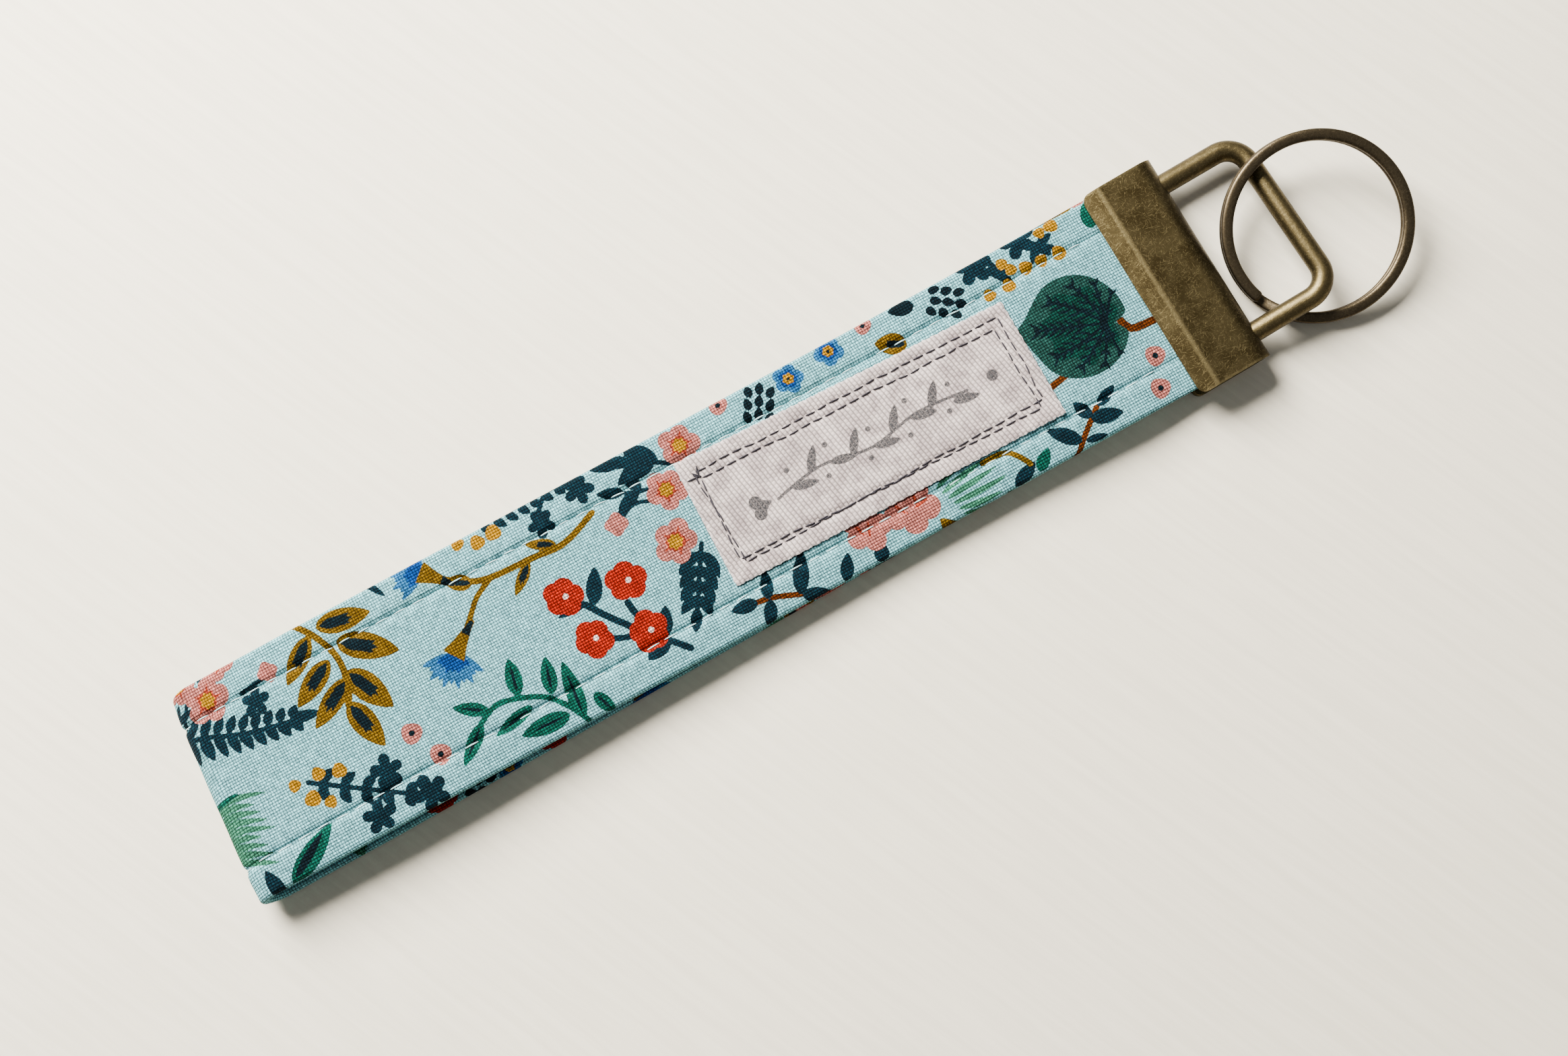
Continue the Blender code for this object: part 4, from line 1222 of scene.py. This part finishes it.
# The hardware is laid out in the clamp's own axes: X towards the ring, Y along its fold, from its middle.
axis = joints["bail_tilt"]["axis"]
yaw = math.atan2(axis[0], -axis[1])
clampCentre = np.array(mounts["upper_jaw_face"]["pos_m"]) / mm
clampCentre[2] = (clampCentre[2] + mounts["lower_jaw_face"]["pos_m"][2] / mm) / 2
clamp = {
    "length": 33.5,
    "depth": 12.0,
    "thickness": 5.6,
    "sheet": 0.8,
    "lip": 2.6,  # from the mouth to the crease
    "lipGap": 1.15,  # half the gap between the jaws at the mouth
    "lipCorner": 1.3,
    "hole": 1.95,
    "edgeRound": 0.14,
    "patina": (61, 52, 33),
    "metal": (190, 172, 126),
}
bail = {
    "radius": 1.55,
    "span": 12.7,  # from the middle to each leg
    "reach": 12.9,
    "corner": 3.6,
    "inside": 1.9,
    "headWide": 2.35,
    "headTall": 1.15,
    "lowerSlope": 0.192,
    "upperSlope": 0.004,
    "patina": (64, 56, 38),
    "metal": (172, 154, 112),
}
ring = {
    "radius": 14.0,
    "band": 1.7,
    "coil": 1.05,
    "pitch": 1.12,
    "centre": (178.5, -3.15),  # X from the fold
    "tilt": 12.8,
    "towards": 57,
    "cut": 203,
    "crossover": 20,
    "gap": 2,
    "patina": (58, 50, 39),
    "metal": (152, 137, 110),
}


def toWorld(points, centre):
    # From the clamp's own axes, with X towards the ring, to the strap's.
    c, s = math.cos(yaw), math.sin(yaw)
    return points @ np.array([[c, s, 0], [-s, c, 0], [0, 0, 1]]) + centre


def brass(name, part, crease=None, height=0.01):
    # Antique brass with a painted highlight along the clamp's crease and ends, or on the top of a wire, and
    # painted shade by the clamp's spine or under a wire.
    made, tree, shader = startMaterial(name, {"Metallic": 1.0})
    local = objectMm(tree, yaw, clampCentre)
    if crease is not None:
        place = parts(tree, local)
        off = calc(tree, "ABSOLUTE", calc(tree, "SUBTRACT", place[0], crease))
        end = calc(tree, "SUBTRACT", clamp["length"] / 2, calc(tree, "ABSOLUTE", place[1]))
        # Painted highlight along the crease and at both short ends of the clamp.
        paintedHighlight = ranged(tree, off, 0.0, 0.55, 0.62, 0.0)
        paintedHighlight = calc(tree, "MAXIMUM", paintedHighlight, ranged(tree, end, 0.1, 0.5, 0.4, 0.0))
        # Painted shade towards the clamp's spine, where the sheet curves away.
        paintedShade = ranged(tree, place[0], clamp["depth"] / 2 - 2.4, clamp["depth"] / 2 - 0.4, 0.0, 0.45)
    else:
        up = parts(tree, put(tree, "ShaderNodeNewGeometry").outputs["Normal"])[2]
        # Painted highlight on the upward faces of a wire.
        paintedHighlight = ranged(tree, up, 0.55, 1.0, 0.0, 0.35)
        # Painted shade on a wire's faces that turn downwards.
        paintedShade = ranged(tree, up, 0.2, -0.5, 0.0, 0.5)
    inputs = {"Vector": local, "Patina": seenAs(part["patina"], 1.1, 1.1),
              "Metal": seenAs(part["metal"], 2.0, 1.1), "Painted Highlight": paintedHighlight, "Painted Shade": paintedShade}
    found = placeGroup(tree, brassGroup, inputs)
    tree.links.new(found["Colour"], shader.inputs["Base Color"])
    tree.links.new(found["Roughness"], shader.inputs["Roughness"])
    bumped(tree, shader, found["Height"], height)
    return made


def softened(path, step, width):
    # A path of straight runs and arcs at even steps, its corners rounded by averaging over a short width.
    path = np.array(path, float)
    gone = np.concatenate([[0], np.cumsum(np.linalg.norm(np.diff(path, axis=0), axis=1))])
    at = np.linspace(0, gone[-1], int(gone[-1] / step))
    even = np.stack([np.interp(at, gone, values) for values in path.T], -1)
    reach = int(width / step / 2)
    before = even[0] + (even[0] - even[1]) * np.arange(reach, 0, -1)[:, None]
    after = even[-1] + (even[-1] - even[-2]) * np.arange(1, reach + 1)[:, None]
    kernel = np.ones(2 * reach + 1) / (2 * reach + 1)
    longer = np.concatenate([before, even, after])
    return np.stack([np.convolve(values, kernel, "valid") for values in longer.T], -1)


def rigid(piece, body, node):
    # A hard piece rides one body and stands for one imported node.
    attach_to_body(piece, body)
    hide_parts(node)
    print(piece.name)


def makeClamp(looks):
    # The folded sheet's middle line, carried along the fold; its mouth corners are rounded in plan. The
    # sheet then gets its thickness, two wire holes and rounded edges.
    half = (clamp["thickness"] - clamp["sheet"]) / 2
    lip = clamp["lipGap"] + clamp["sheet"] / 2
    mouth = -clamp["depth"] / 2
    crease = mouth + clamp["lip"]
    turn = np.linspace(math.pi / 2, -math.pi / 2, 40)
    spine = clamp["depth"] / 2 - clamp["sheet"] / 2 - half
    path = [(mouth, lip), (crease, half), *zip(spine + half * np.cos(turn), half * np.sin(turn)),
            (crease, -half), (mouth, -lip)]
    x, z = softened(path, 0.16, 0.8).T
    corner = clamp["lipCorner"]
    short = corner - np.clip(x - mouth, 0, corner)
    width = clamp["length"] / 2 - (corner - np.sqrt(corner ** 2 - short ** 2))
    ends = 0.98 * math.pi / 2  # the grid closes up towards both ends
    across = np.sin(np.linspace(-ends, ends, 90)) / math.sin(ends)
    points = np.stack([x[:, None] + 0 * across, width[:, None] * across, z[:, None] + 0 * across], -1)
    rows, cols = points.shape[:2]
    points = toWorld(points.reshape(-1, 3), clampCentre)
    mesh = bpy.data.meshes.new("brass_clamp")
    mesh.from_pydata((points * mm).tolist(), [], gridFaces(rows, cols, closed=False))
    piece = placed("brass_clamp", mesh, looks["clampBrass"])
    sheet = piece.modifiers.new("sheet", "SOLIDIFY")
    sheet.thickness = clamp["sheet"] * mm
    sheet.offset = 0
    sheet.use_even_offset = True
    cutters = []
    for side in (1, -1):
        place = toWorld(np.array([clamp["depth"] / 2, side * bail["span"], 0]), clampCentre)
        bpy.ops.mesh.primitive_cylinder_add(vertices=48, radius=clamp["hole"] * mm, depth=5 * mm)
        cutter = bpy.context.object
        level = Matrix.Rotation(yaw, 4, "Z") @ Matrix.Rotation(math.pi / 2, 4, "Y")
        cutter.matrix_world = Matrix.Translation(Vector(place) * mm) @ level
        hole = piece.modifiers.new("hole", "BOOLEAN")
        hole.object = cutter
        hole.operation = "DIFFERENCE"
        hole.solver = "EXACT"
        cutters.append(cutter)
    bevel = piece.modifiers.new("edge", "BEVEL")
    bevel.width = clamp["edgeRound"] * mm
    bevel.segments = 3
    bevel.angle_limit = math.radians(40)
    bpy.context.view_layer.update()
    applied(piece)
    for cutter in cutters:
        bpy.data.objects.remove(cutter)
    piece.data.shade_smooth()
    piece.data.set_sharp_from_angle(angle=math.radians(50))
    rigid(piece, "clamp", "clamp")


def sweep(path, sizeSide, sizeUp, cols, power=1.0):
    # A rounded section carried along a path: its side axis is level, and its other axis is square to it.
    # Cosine and sine are raised to a power, which squares the section as it falls.
    along = unit(np.gradient(path, axis=0))
    side = unit(np.cross(along, [0, 0, 1.0]))
    up = np.cross(side, along)
    angle = np.linspace(0, 2 * math.pi, cols, endpoint=False)
    out, rise = (np.sign(f) * np.abs(f) ** power for f in (np.cos(angle), np.sin(angle)))
    return (path[:, None] + side[:, None] * (sizeSide[:, None] * out)[..., None]
            + up[:, None] * (sizeUp[:, None] * rise)[..., None])


def makeBail(looks):
    # The wire's middle line in plan, with rounded corners, lifted by a slope that differs from leg to
    # leg. Its two ends inside the spine flatten into heads wider than the holes.
    far, span, corner = bail["reach"], bail["span"], bail["corner"]
    turn = np.linspace(math.pi / 2, 0, 24)
    plan = [(-bail["inside"] - 0.5, span), (far - corner, span)]
    plan += list(zip(far - corner + corner * np.cos(turn), span - corner + corner * np.sin(turn)))
    plan += [(x, -y) for x, y in reversed(plan)]
    x, y = softened(plan, 0.22, 0.7).T
    share = (y / span + 1) / 2
    z = x * (bail["lowerSlope"] + (bail["upperSlope"] - bail["lowerSlope"]) * share)
    head = smooth((-0.75 - x) / 0.7)
    end = np.sqrt(np.clip(1 - ((-x - bail["inside"]) / 0.55).clip(0, 1) ** 2, 0.02, 1))
    wide = (bail["radius"] + (bail["headWide"] - bail["radius"]) * head) * end
    tall = (bail["radius"] + (bail["headTall"] - bail["radius"]) * head) * end
    pivot = toWorld(np.array([clamp["depth"] / 2 - clamp["sheet"] / 2, 0, 0]), clampCentre)
    points = toWorld(sweep(np.stack([x, y, z], -1), wide, tall, 28), pivot)
    rigid(tubeMesh("brass_bail", points, looks["bailBrass"]), "bail", "bail")


def makeRing(looks):
    # Half-round wire through two turns: once round below, a step up beside the cut end, once round above.
    # The ring leans up towards the bail from where it rests on the floor.
    cut, step, gap = (math.radians(ring[each]) for each in ("cut", "crossover", "gap"))
    along = np.linspace(0, 4 * math.pi - step - gap, 420)
    rise = ring["pitch"] * smooth((along - (2 * math.pi - step - gap)) / step)
    angle = cut + step + gap + along
    reach = ring["radius"] - ring["band"] / 2
    path = np.stack([reach * np.cos(angle), reach * np.sin(angle), ring["coil"] / 2 + rise], -1)
    near = np.minimum(along, along[-1] - along) * reach
    end = np.sqrt(1 - (1 - np.clip(near / 0.18, 0.0, 1)) ** 2 * 0.5)
    points = sweep(path, ring["band"] / 2 * end, ring["coil"] / 2 * end, 26, 0.72)
    towards, tilt = math.radians(ring["towards"]), math.radians(ring["tilt"])
    lean = np.array(Matrix.Rotation(-tilt, 3, Vector((-math.sin(towards), math.cos(towards), 0))))
    x, y = ring["centre"]
    points = points @ lean.T + np.array([strap["foldX"] + x, y, ring["radius"] * math.sin(tilt)])
    rigid(tubeMesh("brass_split_ring", points, looks["ringBrass"]), "ring", "split_ring")


# Floor, light and camera.
studio = {
    "floor": (236, 228, 207),
    "floorHalf": 3.0,  # metres, as for the lamps
    "floorDrop": 5e-5,
    "skyStrength": 0.18,
    "keyEnergy": 27.6,
    "keySize": 0.36,
    "fillEnergy": 0.2,
    "fillSize": 0.7,
    "lampDistance": 0.62,
}
view = {"target": (-7.05, -4.68, 5.0), "turn": 28.8, "lean": 5.5, "height": 255.0, "across": 223.6}


def viewAxes():
    # The camera's right and the level direction that it shows as up.
    turn = math.radians(view["turn"])
    return Vector((math.cos(turn), -math.sin(turn), 0)), Vector((math.sin(turn), math.cos(turn), 0))


def makeFloor():
    # A large pale plane with faint brushed grain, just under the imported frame's own floor.
    size, drop = studio["floorHalf"], studio["floorDrop"]
    mesh = bpy.data.meshes.new("floor")
    corners = [(-size, -size, -drop), (size, -size, -drop), (size, size, -drop), (-size, size, -drop)]
    mesh.from_pydata(corners, [], [(0, 1, 2, 3)])
    made, tree, shader = startMaterial("pale_floor", {"Roughness": 0.7})
    along = objectMm(tree, math.radians(-65))
    grain = ranged(tree, noise(tree, along, 0.35, 4, 0.6, (0.12, 2.2, 1)), 0.3, 0.7)
    darker = linear([v - 9 for v in studio["floor"]])
    tree.links.new(mixed(tree, grain, darker, linear(studio["floor"])), shader.inputs["Base Color"])
    placed("floor", mesh, made)


def makeLights():
    # A soft sky, a key lamp low on the upper left and a weak fill on the right.
    world = bpy.data.worlds.new("studio")
    world.use_nodes = True
    background = world.node_tree.nodes["Background"]
    background.inputs["Color"].default_value = (0.93, 0.96, 1.0, 1)
    background.inputs["Strength"].default_value = studio["skyStrength"]
    bpy.context.scene.world = world
    right, up = viewAxes()
    towardsKey = -right * 0.7 + up * 0.75 + Vector((0, 0, 0.78))
    towardsFill = right * 0.9 - up * 0.2 + Vector((0, 0, 0.9))
    lamps = [("key", towardsKey, studio["keyEnergy"], studio["keySize"]),
             ("fill", towardsFill, studio["fillEnergy"], studio["fillSize"])]
    for name, direction, energy, size in lamps:
        lamp = bpy.data.lights.new(name, "AREA")
        lamp.energy = energy
        lamp.size = size
        lamp.color = (1.0, 0.965, 0.91)
        spot = bpy.data.objects.new(name, lamp)
        spot.location = direction.normalized() * studio["lampDistance"]
        spot.rotation_mode = "QUATERNION"
        spot.rotation_quaternion = direction.to_track_quat("Z", "Y")
        bpy.context.scene.collection.objects.link(spot)
    print("floor and lights")


def makeCamera():
    # Nearly overhead, turned so that the strap rises to the right, and leaning a little from its lower
    # side.
    lean = math.radians(view["lean"])
    right, level = viewAxes()
    back = Vector((0, 0, math.cos(lean))) - level * math.sin(lean)
    data = bpy.data.cameras.new("camera")
    data.sensor_width = 36
    data.lens = data.sensor_width * view["height"] / view["across"]
    data.clip_start = 0.01
    data.clip_end = 10
    camera = bpy.data.objects.new("camera", data)
    axes = Matrix((right, back.cross(right), back)).transposed().to_4x4()
    camera.matrix_world = Matrix.Translation((Vector(view["target"]) + back * view["height"]) * mm) @ axes
    bpy.context.scene.collection.objects.link(camera)
    bpy.context.scene.camera = camera


makeCamera()
makeFloor()
makeLights()
looks = {
    "cotton": printedCotton(),
    "fleece": plainFleece(),
    "whiteThread": spunThread("white_thread", (222, 232, 232), (188, 204, 206), 0.4),
    "greyThread": spunThread("grey_thread", (104, 100, 108), (70, 66, 74), 0.9),
    "twill": stampedTwill(),
    "clampBrass": brass("clamp_brass", clamp, -clamp["depth"] / 2 + clamp["lip"]),
    "bailBrass": brass("bail_brass", bail),
    "ringBrass": brass("ring_brass", ring),
}
drawFront()
drawElsewhere()
print(len(design), "printed shapes")
makeStrap(looks)
makeLabel(looks)
makeClamp(looks)
makeBail(looks)
makeRing(looks)
